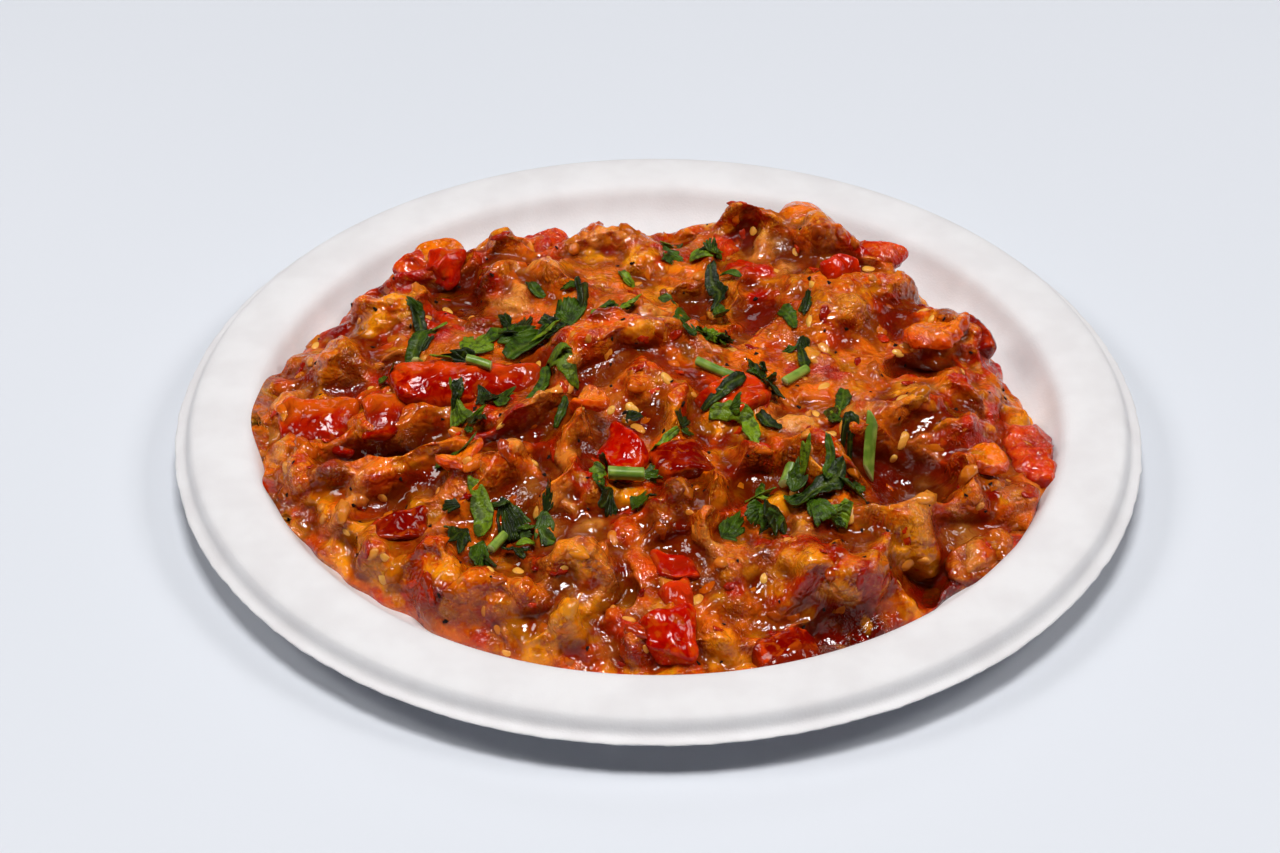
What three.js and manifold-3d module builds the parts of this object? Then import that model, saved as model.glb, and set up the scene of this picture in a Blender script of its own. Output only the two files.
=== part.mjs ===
// A portion of chunky baba ganoush, heaped on a shallow round plate of moulded pulp
// and strewn with chopped parsley.
// Millimetres, +Z up. The origin is the middle of the plate's foot, and -Y is the front.

import * as THREE from 'three';
import { mergeVertices } from 'three/addons/utils/BufferGeometryUtils.js';
import Module from 'manifold-3d';

const wasm = await Module();
wasm.setup();

// ---- driving dimensions -------------------------------------------------------------

const PLATE_RADIUS = 89;        // outer edge of the flange
const RIM_HEIGHT = 11.5;        // highest line of the rolled rim
const FOOT_RADIUS = 50.5;       // flat foot that the plate stands on
const FLOOR_RADIUS = 50;        // flat floor inside
const PULP_THICKNESS = 0.9;     // moulded wall
const PLATE_SEGMENTS = 64;

const MASH_EDGE_HEIGHT = 11;    // top of the heap near its edge
const MASH_RISE = 10.5;         // how much higher the middle stands
const MASH_DOME_RADIUS = 70;
const MASH_SHOULDER = 0.84;     // share of the outline radius where the edge turns down
const MASH_CELLS = 42;          // cells across the heap
const FOLD_RISE = 1.25;         // how far a fold's middle stands above its listed height
const HOLLOW_FALL = 1.2;        // and a hollow's middle below its listed depth
const MASH_DEPTH_BELOW = 6;     // the raw heap starts this far below the floor
const GAP = 0.3;                // clearance between pieces that touch

const SEED_LENGTH = 2.6;
const SEED_WIDTH = 1.9;
const SEED_THICKNESS = 1.2;
const SEED_COUNT = 28;

const LEAF_THICKNESS = 0.45;
const LEAF_WAVE = 0.45;
const STALK_RADIUS = 0.8;
const STALK_SIDES = 6;

// Upper face of the plate as [radius, height], from the floor out over the rim.
const PLATE_FACE = [
  [0, PULP_THICKNESS],
  [FLOOR_RADIUS, PULP_THICKNESS],
  [54, 1.5],
  [69.5, 5.4],
  [71.5, 6.6],
  [72.8, 8],
  [74.2, 10.4],
  [76, RIM_HEIGHT - 0.1],
  [80, RIM_HEIGHT],
  [85.4, RIM_HEIGHT - 0.5],
  [86.5, 9.9],
  [87.1, 7.7],
  [PLATE_RADIUS, 7.5],
];

// Lower face, from the flange back in under the rim and down to the foot.
const PLATE_UNDERSIDE = [
  [PLATE_RADIUS, 6.9],
  [86.2, 6.9],
  [85.3, 10.1],
  [76.2, 10.5],
  [73.7, 7.5],
  [72, 5.7],
  [69.9, 4.5],
  [54.2, 0.6],
  [FOOT_RADIUS, 0],
  [0, 0],
];

// Radius of the heap's foot, every 15 degrees round from +X towards the back.
const MASH_OUTLINE = [
  69, 67.5, 65, 66, 66, 62, 59, 59, 62, 66, 69, 72,
  75, 74, 72, 69, 69.5, 71, 72.3, 72, 70.5, 71, 73.5, 73,
];

// Folds and lumps of soft flesh: x, y, length, width, height, turn of the long side.
const FOLDS = [
  // left
  [-70, -4, 13, 9, 3, 110],
  [-60, 11, 16, 13, 4.6, 115],
  [-54, 26, 15, 12, 4.4, 60],
  [-66, -18, 22, 10, 4, 110],
  [-52, -24, 26, 10, 3.6, 170],
  [-38, -23, 17, 10, 3.2, 10],
  [-58, -35, 16, 10, 3, 110],
  [-47, 27, 15, 9, 3, 70],
  [-42, 41, 18, 14, 3.7, 20],
  // back
  [-29, 46, 15, 13, 4.5, 0],
  [-10, 46, 21, 11, 2.8, 0],
  [-18, 31, 16, 8, 3.6, 100],
  [-31, 33, 14, 11, 3, 30],
  [19, 50, 23, 14, 6.4, 5],
  [30, 45, 15, 13, 6.4, 0],
  [33, 24, 25, 20, 4, 75],
  [41, 43, 15, 11, 3.6, -30],
  [45, 32, 15, 11, 3, 60],
  [52, 19, 15, 11, 4, 40],
  // middle
  [-9, 5, 36, 14, 5.5, 20],
  [-22, -13, 21, 9, 4.5, 25],
  [-32, -30, 29, 9, 5, 36],
  [-14, -21, 14, 7, 5.5, 60],
  [-18, -33, 18, 7, 4, 62],
  [-12, -35, 8, 8, 3.5, 0],
  [-3, -8, 15, 13, 3.5, 80],
  [3, -13, 21, 6, 3.5, -88],
  [9, -34, 11, 6, 4.5, 85],
  [9, -44, 12, 8, 4.5, 80],
  [2, -40, 11, 9, 3.5, 95],
  [17, -27, 8, 7, 3.5, 0],
  // front
  [-40, -49, 17, 12, 4.5, 115],
  [-48, -43, 16, 6, 3.5, 115],
  [-29, -57, 23, 9, 4, 5],
  [-15, -53, 15, 14, 5, 80],
  [-17, -65, 14, 7, 4, 35],
  [14, -52, 13, 11, 2.5, 70],
  [32, -53, 28, 13, 5.5, 0],
  [40, -45, 10, 8, 4, 20],
  // right
  [30, -25, 20, 8, 4.5, -22],
  [26, -31, 21, 7, 4.5, -28],
  [43, -37, 19, 8, 4.5, 2],
  [55, -27, 23, 8, 6, 66],
  [55, -14, 16, 9, 4, 20],
  [45, -9, 19, 10, 4, 18],
  [63, -27, 13, 9, 3, 70],
  [56, 1, 15, 11, 3, 80],
  [38, -17, 10, 9, 3.5, 0],
  [33, -40, 17, 11, 3, 20],
];

// Hollows between the folds: x, y, length, width, depth, turn.
const HOLLOWS = [
  [-47, -16, 22, 11, 7, -5],
  [-25, -20, 14, 6, 3, 30],
  [-36, -33, 16, 6, 3.5, 35],
  [-37, 30, 20, 9, 5.5, 95],
  [-57, 3, 6, 5, 3, 40],
  [-47, 6, 12, 6, 2.5, 0],
  [9, 26, 20, 11, 4.5, 70],
  [0, 30, 16, 9, 2, 90],
  [17, 21, 24, 8, 3.5, 70],
  [50, 6, 13, 9, 5.5, 20],
  [43, -26, 22, 14, 5.5, -8],
  [49, -47, 14, 8, 6, 55],
  [34, -63, 18, 7, 6.5, 12],
  [-8, -58, 10, 4, 4.5, 80],
  [-11, -29, 8, 5, 3, 60],
  [-17, -8, 9, 6, 3, 40],
  [3, -33, 10, 7, 3, 0],
  [15, -33, 10, 7, 3, 60],
  [24, -12, 20, 10, 1.5, 20],
  [-24, -41, 12, 6, 2.5, 60],
  [-50, -33, 12, 6, 2.5, 0],
  [2, 52, 11, 8, 2, 90],
  [17, 46, 8, 5, 3, 80],
];

// Firm pieces of roasted pepper: x, y, length, width, thickness, turn, forward tilt, and
// how far the top stands out of the mash.
const PEPPERS = [
  [-35, -2.5, 27, 9, 6, 4, 28, 2.8],
  [-62, -6, 15, 11, 7, 170, 24, 1.3],
  [-50, -8, 9, 8, 5, 10, 25, 1.6],
  [14, -10, 10, 9.5, 7, 40, 12, 3.2],
  [-6, -26, 10, 8, 6, -50, 18, 2.6],
  [4, -27, 10, 8, 4.5, 10, 15, 1.2],
  [1.5, -65, 11, 9.5, 8, 5, 22, 2.8],
  [3, -58, 7.5, 6.5, 5, 20, 20, 1],
  [3, -51, 8, 6, 5, 0, 15, 0.5],
  [68.5, -11, 17, 8, 7.5, 96, 0, 2.4],
  [-45, -39, 9, 6, 4, 5, 20, 1.4],
  [35, 28, 8.5, 7.5, 5, 30, 15, 1.2],
  [-22, 48, 10, 6, 5, 60, 0, 1.6],
  [22, -66, 12, 8, 5, 15, 15, 1.8],
  [42, 43, 10, 8, 5, -30, 0, 0.6],
  [59, 21, 12, 4, 5, -70, 0, 1.6],
  [57, -41, 12, 6.5, 4, 28, 25, 1.3],
  [-44, 40, 12, 8, 6, 10, 10, 0.6],
  [27, 52, 9, 7, 6, 50, 0, 0.8],
  [12, 44, 9, 7, 5, 70, 10, 1.4],
];

// A broad flap of flesh that leans up and back: x, y, length, width, thickness, turn, lean.
const FLAPS = [
  [52, 15, 14, 11, 3.4, 30, -26],
  [-13, -17, 6, 8, 2.2, 65, -30],
  [-35, -29, 9, 6, 2, 30, -35],
  [58, -22, 7, 10, 2.4, 60, -20],
];

// Bunches of chopped parsley: a knot of stalk with leaves round it, each leaf given as
// direction, length, width.
const BUNCHES = [
  { at: [-31, 6], leaves: [[62, 10, 9], [25, 12, 5], [165, 10, 4], [100, 9, 5]] },
  { at: [-13, 16], leaves: [[130, 8, 8], [40, 11, 5], [95, 11, 4], [-150, 6, 6]] },
  { at: [-45, 14], leaves: [[75, 9, 4], [-110, 7, 4]] },
  { at: [-34, -13], leaves: [[120, 10, 6], [60, 8, 7], [-70, 9, 6], [-20, 5, 4]] },
  { at: [-20, 0], leaves: [[-110, 10, 3], [-78, 11, 5]] },
  { at: [-30, -43], leaves: [[82, 11, 5], [50, 8, 6], [-50, 8, 6], [-100, 11, 5], [150, 6, 4]] },
  { at: [-20, -42], leaves: [[-100, 7, 4], [80, 3.5, 2.5]] },
  { at: [-7, -36], leaves: [[-60, 7, 5], [-115, 6, 6], [65, 5, 4], [125, 7, 3], [5, 5, 3]] },
  { at: [4, -20], leaves: [[-130, 9, 2.5], [80, 5, 3.5], [20, 3, 3]] },
  { at: [19.5, -4.5], leaves: [[20, 5, 5], [110, 5, 5], [-80, 6, 5], [175, 5, 4]] },
  { at: [15, -16], leaves: [[175, 6, 4], [5, 6, 3.5], [-78, 9, 4]] },
  { at: [26, 11], leaves: [[115, 11, 3.5], [70, 7, 4], [-82, 11, 2.6]] },
  { at: [31.5, -11], leaves: [[50, 10, 4.5], [-95, 7, 4], [110, 6, 4]] },
  { at: [24, -39], leaves: [[20, 8, 6], [140, 9, 5], [-30, 7, 6], [75, 8, 6], [-110, 8, 6], [45, 13, 4]] },
  { at: [7, 38], leaves: [[160, 9, 4], [20, 8, 6], [60, 7, 4], [-70, 12, 4]] },
  { at: [9.5, 9], leaves: [[70, 6, 4], [-60, 6, 4], [-130, 6, 5]] },
  { at: [-6, 33], leaves: [[110, 6, 3], [-70, 5, 4]] },
];

// Loose snips of leaf and stalk that lie on the mash: x, y, length, width, turn.
const SNIPS = [
  [-18, -17, 6, 1.8, 70],
  [-36, -26, 8, 1.8, -5],
  [8, -13.5, 10, 3, 38],
  [18, -14, 6.5, 2.6, -52],
  [34, -21, 5, 3, 80],
  [11, -47, 8, 4, 58],
  [3.5, 14, 8, 3, 70],
  [0, 28.5, 4, 2, -25],
  [-24.5, 29, 6, 2.2, -55],
  [-50, 4, 7, 2, -65],
  [-5, -15, 4, 2.4, 0],
];
const STALKS = [
  [7, 0, 9, -28],
  [-34, -0.5, 4, -15],
  [-44.5, 1.5, 5, 80],
  [37.5, -23, 5, 85],
];

// ---- helpers -------------------------------------------------------------------------

const RANDOM_FACTOR = 16807;
const RANDOM_MODULUS = 2147483647;
const radians = THREE.MathUtils.degToRad;

function makeRandom(seed) {
  let state = seed;
  return () => {
    state = (state * RANDOM_FACTOR) % RANDOM_MODULUS;
    return state / RANDOM_MODULUS;
  };
}

function toSolid(geometry) {
  const bare = geometry.index ? geometry.toNonIndexed() : geometry.clone();
  bare.deleteAttribute('normal');
  bare.deleteAttribute('uv');
  const merged = mergeVertices(bare, 1e-4);
  const mesh = new wasm.Mesh({
    numProp: 3,
    vertProperties: new Float32Array(merged.attributes.position.array),
    triVerts: new Uint32Array(merged.index.array),
  });
  return new wasm.Manifold(mesh);
}

function toGeometry(solid) {
  const mesh = solid.getMesh();
  const geometry = new THREE.BufferGeometry();
  geometry.setAttribute('position', new THREE.BufferAttribute(mesh.vertProperties, 3));
  geometry.setIndex(new THREE.BufferAttribute(mesh.triVerts, 1));
  geometry.computeVertexNormals();
  return geometry;
}

function joinAll(solids) {
  return solids.reduce((whole, piece) => whole.add(piece));
}

// The largest body of a solid; scraps that a cut leaves loose are dropped.
function largestBody(solid) {
  const bodies = solid.decompose();
  bodies.sort((a, b) => b.volume() - a.volume());
  return bodies[0];
}

function movePoints(geometry, move) {
  const position = geometry.attributes.position;
  const point = new THREE.Vector3();
  for (let i = 0; i < position.count; i += 1) {
    point.fromBufferAttribute(position, i);
    move(point);
    position.setXYZ(i, point.x, point.y, point.z);
  }
  return geometry;
}

function latheAboutZ(profile) {
  const points = profile.map(([radius, height]) => new THREE.Vector2(radius, height));
  return new THREE.LatheGeometry(points, PLATE_SEGMENTS).rotateX(Math.PI / 2);
}

// ---- plate ---------------------------------------------------------------------------

function plateGeometry() {
  const profile = [...PLATE_FACE, ...PLATE_UNDERSIDE].reverse();
  return latheAboutZ(profile);
}

function plateHeight(radius) {
  for (let i = 1; i < PLATE_FACE.length; i += 1) {
    const [outer, outerHeight] = PLATE_FACE[i];
    if (radius <= outer) {
      const [inner, innerHeight] = PLATE_FACE[i - 1];
      return THREE.MathUtils.mapLinear(radius, inner, outer, innerHeight, outerHeight);
    }
  }
  return PLATE_FACE[PLATE_FACE.length - 1][1];
}

// The space above the plate that the food may fill.
function roomSolid() {
  const ceiling = 70;
  const face = PLATE_FACE.map(([radius, height]) => [Math.max(radius - GAP, 0), height + GAP]);
  return toSolid(latheAboutZ([...face, [PLATE_RADIUS - GAP, ceiling], [0, ceiling]]));
}

// ---- heap ----------------------------------------------------------------------------

function outlineRadius(angle) {
  const count = MASH_OUTLINE.length;
  const place = THREE.MathUtils.euclideanModulo(angle / (2 * Math.PI), 1) * count;
  const index = Math.floor(place) % count;
  const blend = THREE.MathUtils.smoothstep(place - Math.floor(place), 0, 1);
  return THREE.MathUtils.lerp(MASH_OUTLINE[index], MASH_OUTLINE[(index + 1) % count], blend);
}

// Softens straight edges: the plan is stirred a little before the folds are read.
function stirred(x, y) {
  return [
    x + 1.5 * Math.sin(y / 4.1 + 0.7 * Math.sin(x / 6.3)) + 0.7 * Math.sin(y / 2.3 + x / 3.1),
    y + 1.4 * Math.sin(x / 4.7 + 0.9 * Math.sin(y / 5.2)) + 0.7 * Math.sin(x / 2.6 - y / 3.4),
  ];
}

// Distance from the middle of an oval, 1 at its edge.
function ovalDistance(x, y, [centreX, centreY, length, width, , turn], power) {
  const angle = radians(turn);
  const dx = x - centreX;
  const dy = y - centreY;
  const along = (dx * Math.cos(angle) + dy * Math.sin(angle)) / (length / 2);
  const across = (dy * Math.cos(angle) - dx * Math.sin(angle)) / (width / 2);
  return (Math.abs(along) ** power + Math.abs(across) ** power) ** (1 / power);
}

// The folds run into each other: where two meet, the valley between them is rounded.
function foldHeight(x, y) {
  const squareness = 2.2;
  const softness = 4;
  let sum = 0;
  for (const fold of FOLDS) {
    const distance = ovalDistance(x, y, fold, squareness);
    const height = FOLD_RISE * fold[4] * (1 - THREE.MathUtils.smoothstep(distance, 0.3, 1.25));
    sum += height ** softness;
  }
  return sum ** (1 / softness);
}

function hollowDepth(x, y) {
  let depth = 0;
  for (const hollow of HOLLOWS) {
    const distance = ovalDistance(x, y, hollow, 2);
    const fall = HOLLOW_FALL * hollow[4] * (1 - THREE.MathUtils.smoothstep(distance, 0.2, 1.3));
    depth = Math.max(depth, fall);
  }
  return depth;
}

function mashHeight(x, y) {
  const radius = Math.hypot(x, y);
  const share = radius / outlineRadius(Math.atan2(y, x));
  const dome = MASH_EDGE_HEIGHT + MASH_RISE * (1 - (radius / MASH_DOME_RADIUS) ** 2.4);
  const [stirredX, stirredY] = stirred(x, y);
  const waves = 0.7 * Math.sin(x / 9.3 + 1.1) * Math.sin(y / 8.1 + 0.4) + 0.5 * Math.sin((x + y) / 5.7);
  const top = dome + foldHeight(stirredX, stirredY) - hollowDepth(stirredX, stirredY) + waves;
  const pastShoulder = THREE.MathUtils.clamp((share - MASH_SHOULDER) / (1 - MASH_SHOULDER), 0, 1);
  const edge = Math.sqrt(1 - pastShoulder ** 2.4);
  const foot = plateHeight(radius);
  return foot + (top - foot) * edge;
}

// A square cell grid laid out as a disc with cells of nearly equal size.
function squareToDisc(u, v) {
  if (u === 0 && v === 0) {
    return [0, 0];
  }
  if (Math.abs(u) > Math.abs(v)) {
    const angle = (Math.PI / 4) * (v / u);
    return [u * Math.cos(angle), u * Math.sin(angle)];
  }
  const angle = Math.PI / 2 - (Math.PI / 4) * (u / v);
  return [v * Math.cos(angle), v * Math.sin(angle)];
}

function mashCore() {
  const block = new THREE.BoxGeometry(2, 2, 1, MASH_CELLS, MASH_CELLS, 1);
  movePoints(block, (point) => {
    const [discX, discY] = squareToDisc(point.x, point.y);
    const radius = outlineRadius(Math.atan2(discY, discX));
    point.x = discX * radius;
    point.y = discY * radius;
    point.z = point.z > 0 ? mashHeight(point.x, point.y) : -MASH_DEPTH_BELOW;
  });
  return toSolid(block);
}

// A die or strip with its corners drawn in, slightly skewed.
function roundedPiece(length, width, thickness, skew) {
  const box = new THREE.BoxGeometry(2, 2, 2, 2, 2, 1);
  return movePoints(box, (point) => {
    const round = 1 - 0.12 * (point.lengthSq() - 1);
    point.multiplyScalar(round);
    point.x += skew * point.y * 0.2;
    point.z += skew * point.x * 0.12;
    point.multiply(new THREE.Vector3(length / 2, width / 2, thickness / 2));
  });
}

function placePiece(geometry, x, y, z, turn, tilt) {
  geometry.rotateX(radians(tilt));
  geometry.rotateZ(radians(turn));
  geometry.translate(x, y, z);
  return toSolid(geometry);
}

function pepperSolids() {
  const random = makeRandom(41);
  return PEPPERS.map(([x, y, length, width, thickness, turn, tilt, proud]) => {
    const piece = roundedPiece(length, width, thickness, random() - 0.5);
    const z = mashHeight(x, y) + proud - thickness / 2;
    const facing = Math.abs(turn) > 90 ? -tilt : tilt;
    return placePiece(piece, x, y, z, turn, facing);
  });
}

function flapSolids() {
  return FLAPS.map(([x, y, length, width, thickness, turn, lean]) => {
    const slab = new THREE.BoxGeometry(length, width, thickness, 4, 4, 1);
    movePoints(slab, (point) => {
      const along = point.x / (length / 2);
      const across = point.y / (width / 2);
      point.z += 1.4 * along ** 2 - 1.1 * across ** 2;
      point.y *= 1 - 0.3 * along ** 2;
      point.x *= 1 - 0.25 * across ** 2;
    });
    return placePiece(slab, x, y, mashHeight(x, y) + 0.5, turn, lean);
  });
}

function seedSolids() {
  const random = makeRandom(2029);
  const goldenAngle = Math.PI * (3 - Math.sqrt(5));
  const seeds = [];
  for (let i = 0; i < SEED_COUNT; i += 1) {
    const radius = 62 * Math.sqrt((i + 0.5) / SEED_COUNT);
    const angle = i * goldenAngle + 0.6 * random();
    const x = radius * Math.cos(angle);
    const y = radius * Math.sin(angle);
    const seed = new THREE.IcosahedronGeometry(1, 0);
    seed.scale(SEED_LENGTH / 2, SEED_WIDTH / 2, SEED_THICKNESS / 2);
    seeds.push(placePiece(seed, x, y, mashHeight(x, y) + 0.2, 360 * random(), 30 * random()));
  }
  return seeds;
}

// ---- parsley -------------------------------------------------------------------------

// One side of a toothed leaf as share of its length, share of its width.
const LEAF_EDGE = [
  [0.45, 0.5],
  [0.62, 0.3],
  [0.82, 0.36],
];

// Points of one leaf from its right edge over the tip to its left edge, turned to its place.
function leafPoints(direction, length, width, rightRoom, leftRoom) {
  const [[baseShare]] = LEAF_EDGE;
  const side = (room, sign) => {
    const most = Math.tan(room) * baseShare * length;
    const half = Math.min(width / 2, room < Math.PI / 2 ? most : width / 2);
    return LEAF_EDGE.map(([along, across]) => [along * length, sign * across * 2 * half]);
  };
  const points = [...side(rightRoom, -1), [length, 0], ...side(leftRoom, 1).reverse()];
  const turn = radians(direction);
  return points.map(([x, y]) => new THREE.Vector2(x, y).rotateAround(new THREE.Vector2(), turn));
}

// A star of leaves round a knot, kept free of crossings by narrowing neighbours.
function bunchOutline(leaves) {
  const knotRadius = 1.3;
  const margin = radians(4);
  const sorted = leaves
    .map(([direction, length, width]) => [THREE.MathUtils.euclideanModulo(direction, 360), length, width])
    .sort((a, b) => a[0] - b[0]);
  const gaps = sorted.map(([direction], i) => {
    const next = sorted[(i + 1) % sorted.length][0];
    return radians(THREE.MathUtils.euclideanModulo(next - direction - 0.001, 360));
  });
  const points = [];
  sorted.forEach(([direction, length, width], i) => {
    const before = gaps[(i + gaps.length - 1) % gaps.length];
    points.push(...leafPoints(direction, length, width, before / 2 - margin, gaps[i] / 2 - margin));
    const valley = radians(direction) + gaps[i] / 2;
    points.push(new THREE.Vector2(knotRadius * Math.cos(valley), knotRadius * Math.sin(valley)));
  });
  return new THREE.Shape(points);
}

function snipOutline(length, width) {
  const blunt = 0.35 * width;
  return new THREE.Shape([
    new THREE.Vector2(0, -blunt),
    ...leafPoints(0, length, width, Math.PI, Math.PI),
    new THREE.Vector2(0, blunt),
  ]);
}

// The mash with its small relief smoothed away, which a soft leaf follows.
function smoothHeight(x, y) {
  const reach = 2.5;
  const sides = 8;
  let sum = mashHeight(x, y);
  for (let i = 0; i < sides; i += 1) {
    const angle = (i / sides) * 2 * Math.PI;
    sum += mashHeight(x + reach * Math.cos(angle), y + reach * Math.sin(angle));
  }
  return sum / (sides + 1);
}

// A thin wavy sheet cut to an outline, both faces alike, laid over the mash at a place.
function layOver(outline, x, y, turn, phase) {
  const sheet = new THREE.ExtrudeGeometry(outline, { depth: LEAF_THICKNESS, bevelEnabled: false });
  sheet.rotateZ(radians(turn));
  sheet.translate(x, y, 0);
  return movePoints(sheet, (point) => {
    const reach = Math.hypot(point.x - x, point.y - y);
    const ripple = LEAF_WAVE * Math.sin(0.8 * reach + 2.4 * Math.atan2(point.y - y, point.x - x) + phase);
    point.z += smoothHeight(point.x, point.y) + ripple;
  });
}

// Calls visit(x, y, z) on points spread over every triangle of a geometry.
function visitSurface(geometry, spacing, visit) {
  const triangle = new THREE.Triangle();
  const position = geometry.attributes.position;
  const order = geometry.index ? geometry.index.array : [...Array(position.count).keys()];
  for (let i = 0; i < order.length; i += 3) {
    triangle.setFromAttributeAndIndices(position, order[i], order[i + 1], order[i + 2]);
    const { a, b, c } = triangle;
    const longest = Math.max(a.distanceTo(b), b.distanceTo(c), c.distanceTo(a));
    const steps = Math.ceil(longest / spacing);
    for (let j = 0; j <= steps; j += 1) {
      for (let k = 0; k <= steps - j; k += 1) {
        const u = j / steps;
        const v = k / steps;
        const w = 1 - u - v;
        visit(a.x * w + b.x * u + c.x * v, a.y * w + b.y * u + c.y * v, a.z * w + b.z * u + c.z * v);
      }
    }
  }
}

// What later pieces rest on: the highest point so far near each place of the plan.
function makeSupport() {
  const cell = 0.5;
  const reach = 92;
  const size = Math.ceil((2 * reach) / cell);
  const heights = new Float32Array(size * size).fill(-1);
  const toCell = (value) => Math.floor((value + reach) / cell);
  const add = (geometry) => {
    visitSurface(geometry, cell / 2, (x, y, z) => {
      const place = toCell(y) * size + toCell(x);
      heights[place] = Math.max(heights[place], z);
    });
  };
  const highest = (x, y) => {
    let top = -1;
    for (let row = toCell(y) - 1; row <= toCell(y) + 1; row += 1) {
      for (let column = toCell(x) - 1; column <= toCell(x) + 1; column += 1) {
        top = Math.max(top, heights[row * size + column]);
      }
    }
    return top;
  };
  return { add, highest };
}

// Lifts a laid sheet until it just clears what carries it.
function restOn(support, sheet) {
  let lift = -Infinity;
  visitSurface(sheet, 0.4, (x, y, z) => {
    lift = Math.max(lift, support.highest(x, y) + GAP - z);
  });
  sheet.translate(0, 0, lift);
  support.add(sheet);
  return sheet;
}

function snipSolids() {
  const sunk = 0.3;
  return SNIPS.map(([x, y, length, width, turn], i) => {
    const snip = layOver(snipOutline(length, width), x, y, turn, i);
    return toSolid(snip.translate(0, 0, -sunk));
  });
}

function stalkSolids() {
  return STALKS.map(([x, y, length, turn]) => {
    const angle = radians(turn);
    const endX = x + length * Math.cos(angle);
    const endY = y + length * Math.sin(angle);
    const rise = mashHeight(endX, endY) - mashHeight(x, y);
    const stalk = new THREE.CylinderGeometry(STALK_RADIUS, STALK_RADIUS, length, STALK_SIDES);
    stalk.rotateZ(-Math.PI / 2);
    stalk.rotateY(-Math.atan2(rise, length));
    const z = (mashHeight(endX, endY) + mashHeight(x, y)) / 2 + 0.3;
    return placePiece(stalk, (x + endX) / 2, (y + endY) / 2, z, turn, 0);
  });
}

// ---- assembly ------------------------------------------------------------------------

const pulp = new THREE.MeshStandardMaterial({ color: 0xebe9ec, roughness: 0.85, metalness: 0 });
const flesh = new THREE.MeshStandardMaterial({ color: 0xb8541c, roughness: 0.35, metalness: 0 });
const herb = new THREE.MeshStandardMaterial({ color: 0x3d6b2a, roughness: 0.5, metalness: 0 });

function addMesh(group, name, geometry, material) {
  const mesh = new THREE.Mesh(geometry, material);
  mesh.name = name;
  group.add(mesh);
}

const object = new THREE.Group();
addMesh(object, 'pulp_plate', plateGeometry(), pulp);

const mash = joinAll([
  mashCore(),
  ...pepperSolids(),
  ...flapSolids(),
  ...seedSolids(),
  ...snipSolids(),
  ...stalkSolids(),
]);
const mashGeometry = toGeometry(largestBody(mash.intersect(roomSolid())));
addMesh(object, 'aubergine_mash', mashGeometry, flesh);

const support = makeSupport();
support.add(mashGeometry);
BUNCHES.forEach(({ at: [x, y], leaves }, i) => {
  const name = `parsley_bunch_${String(i + 1).padStart(2, '0')}`;
  const sheet = layOver(bunchOutline(leaves), x, y, 0, i);
  addMesh(object, name, toGeometry(toSolid(restOn(support, sheet))), herb);
});

export default object;
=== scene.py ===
"""Chunky baba ganoush heaped on a shallow round plate of moulded pulp.

The heap is one soft mass of stirred flesh. Firm pieces of roasted pepper, pips, cracked
pepper and chopped parsley lie in it and on it. Shapes are worked out in millimetres, in
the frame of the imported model, and become metres where a mesh is made.
"""

import math
import random

import bpy
import numpy as np
from mathutils import Matrix, Vector, noise
from mathutils.bvhtree import BVHTree


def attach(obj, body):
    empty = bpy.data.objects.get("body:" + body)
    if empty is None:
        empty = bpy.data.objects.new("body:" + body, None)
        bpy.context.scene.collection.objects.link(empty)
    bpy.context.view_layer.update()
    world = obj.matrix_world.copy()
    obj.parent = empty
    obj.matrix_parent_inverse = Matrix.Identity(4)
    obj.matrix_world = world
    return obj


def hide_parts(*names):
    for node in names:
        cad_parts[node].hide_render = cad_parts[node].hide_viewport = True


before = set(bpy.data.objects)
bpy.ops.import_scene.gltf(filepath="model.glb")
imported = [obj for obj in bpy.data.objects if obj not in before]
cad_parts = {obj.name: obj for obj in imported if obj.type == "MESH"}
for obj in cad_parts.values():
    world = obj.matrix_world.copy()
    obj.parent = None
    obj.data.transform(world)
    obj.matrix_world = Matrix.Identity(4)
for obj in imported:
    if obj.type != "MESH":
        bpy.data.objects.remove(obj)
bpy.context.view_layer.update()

MM = 0.001
BODY = "root"

# ---- plate ---------------------------------------------------------------------------

PLATE_RADIUS = 89
RIM_HEIGHT = 11.5
PULP_THICKNESS = 0.9
PLATE_SEGMENTS = 384
FLANGE_TEAR = 0.22
RIM_WARP = 0.25

# Radii between which the tear of the edge and the warp of the rim set in.
TEAR_ZONE = (86.8, 88.6)
WARP_ZONE = (60, 80)

# Upper face of the plate as (radius, height), from the floor out over the rim.
PLATE_FACE = [
    (0, PULP_THICKNESS),
    (50, PULP_THICKNESS),
    (54, 1.5),
    (69.5, 5.4),
    (71.5, 6.6),
    (72.8, 8),
    (74.2, 10.4),
    (76, RIM_HEIGHT - 0.1),
    (80, RIM_HEIGHT),
    (85.4, RIM_HEIGHT - 0.5),
    (86.5, 9.9),
    (87.1, 7.7),
    (PLATE_RADIUS, 7.5),
]

# Lower face, from the flange back in under the rim and down to the foot.
PLATE_UNDERSIDE = [
    (PLATE_RADIUS, 6.9),
    (86.2, 6.9),
    (85.3, 10.1),
    (76.2, 10.5),
    (73.7, 7.5),
    (72, 5.7),
    (69.9, 4.5),
    (54.2, 0.6),
    (50.5, 0),
    (0, 0),
]

# ---- heap ----------------------------------------------------------------------------

MASH_EDGE_HEIGHT = 11
MASH_RISE = 10.5
MASH_DOME_RADIUS = 70
MASH_SHOULDER = 0.84
MASH_CELLS = 304
MASH_FOOT_RADIUS = 49
MASH_UNDERSIDE = 1.25
CHUNK_SIZE = 7.0
LUMP_SIZE = 3.1
LOBE_SIZE = 8.5
SAUCE_DROP = 1.0

# How square the dome and its edge are, how much folds and hollows are stressed, and how hard
# folds that cross stay apart.
HEAP_CURVE = 2.4
FOLD_GAIN = 1.2
FOLD_MERGE = 4

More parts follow.
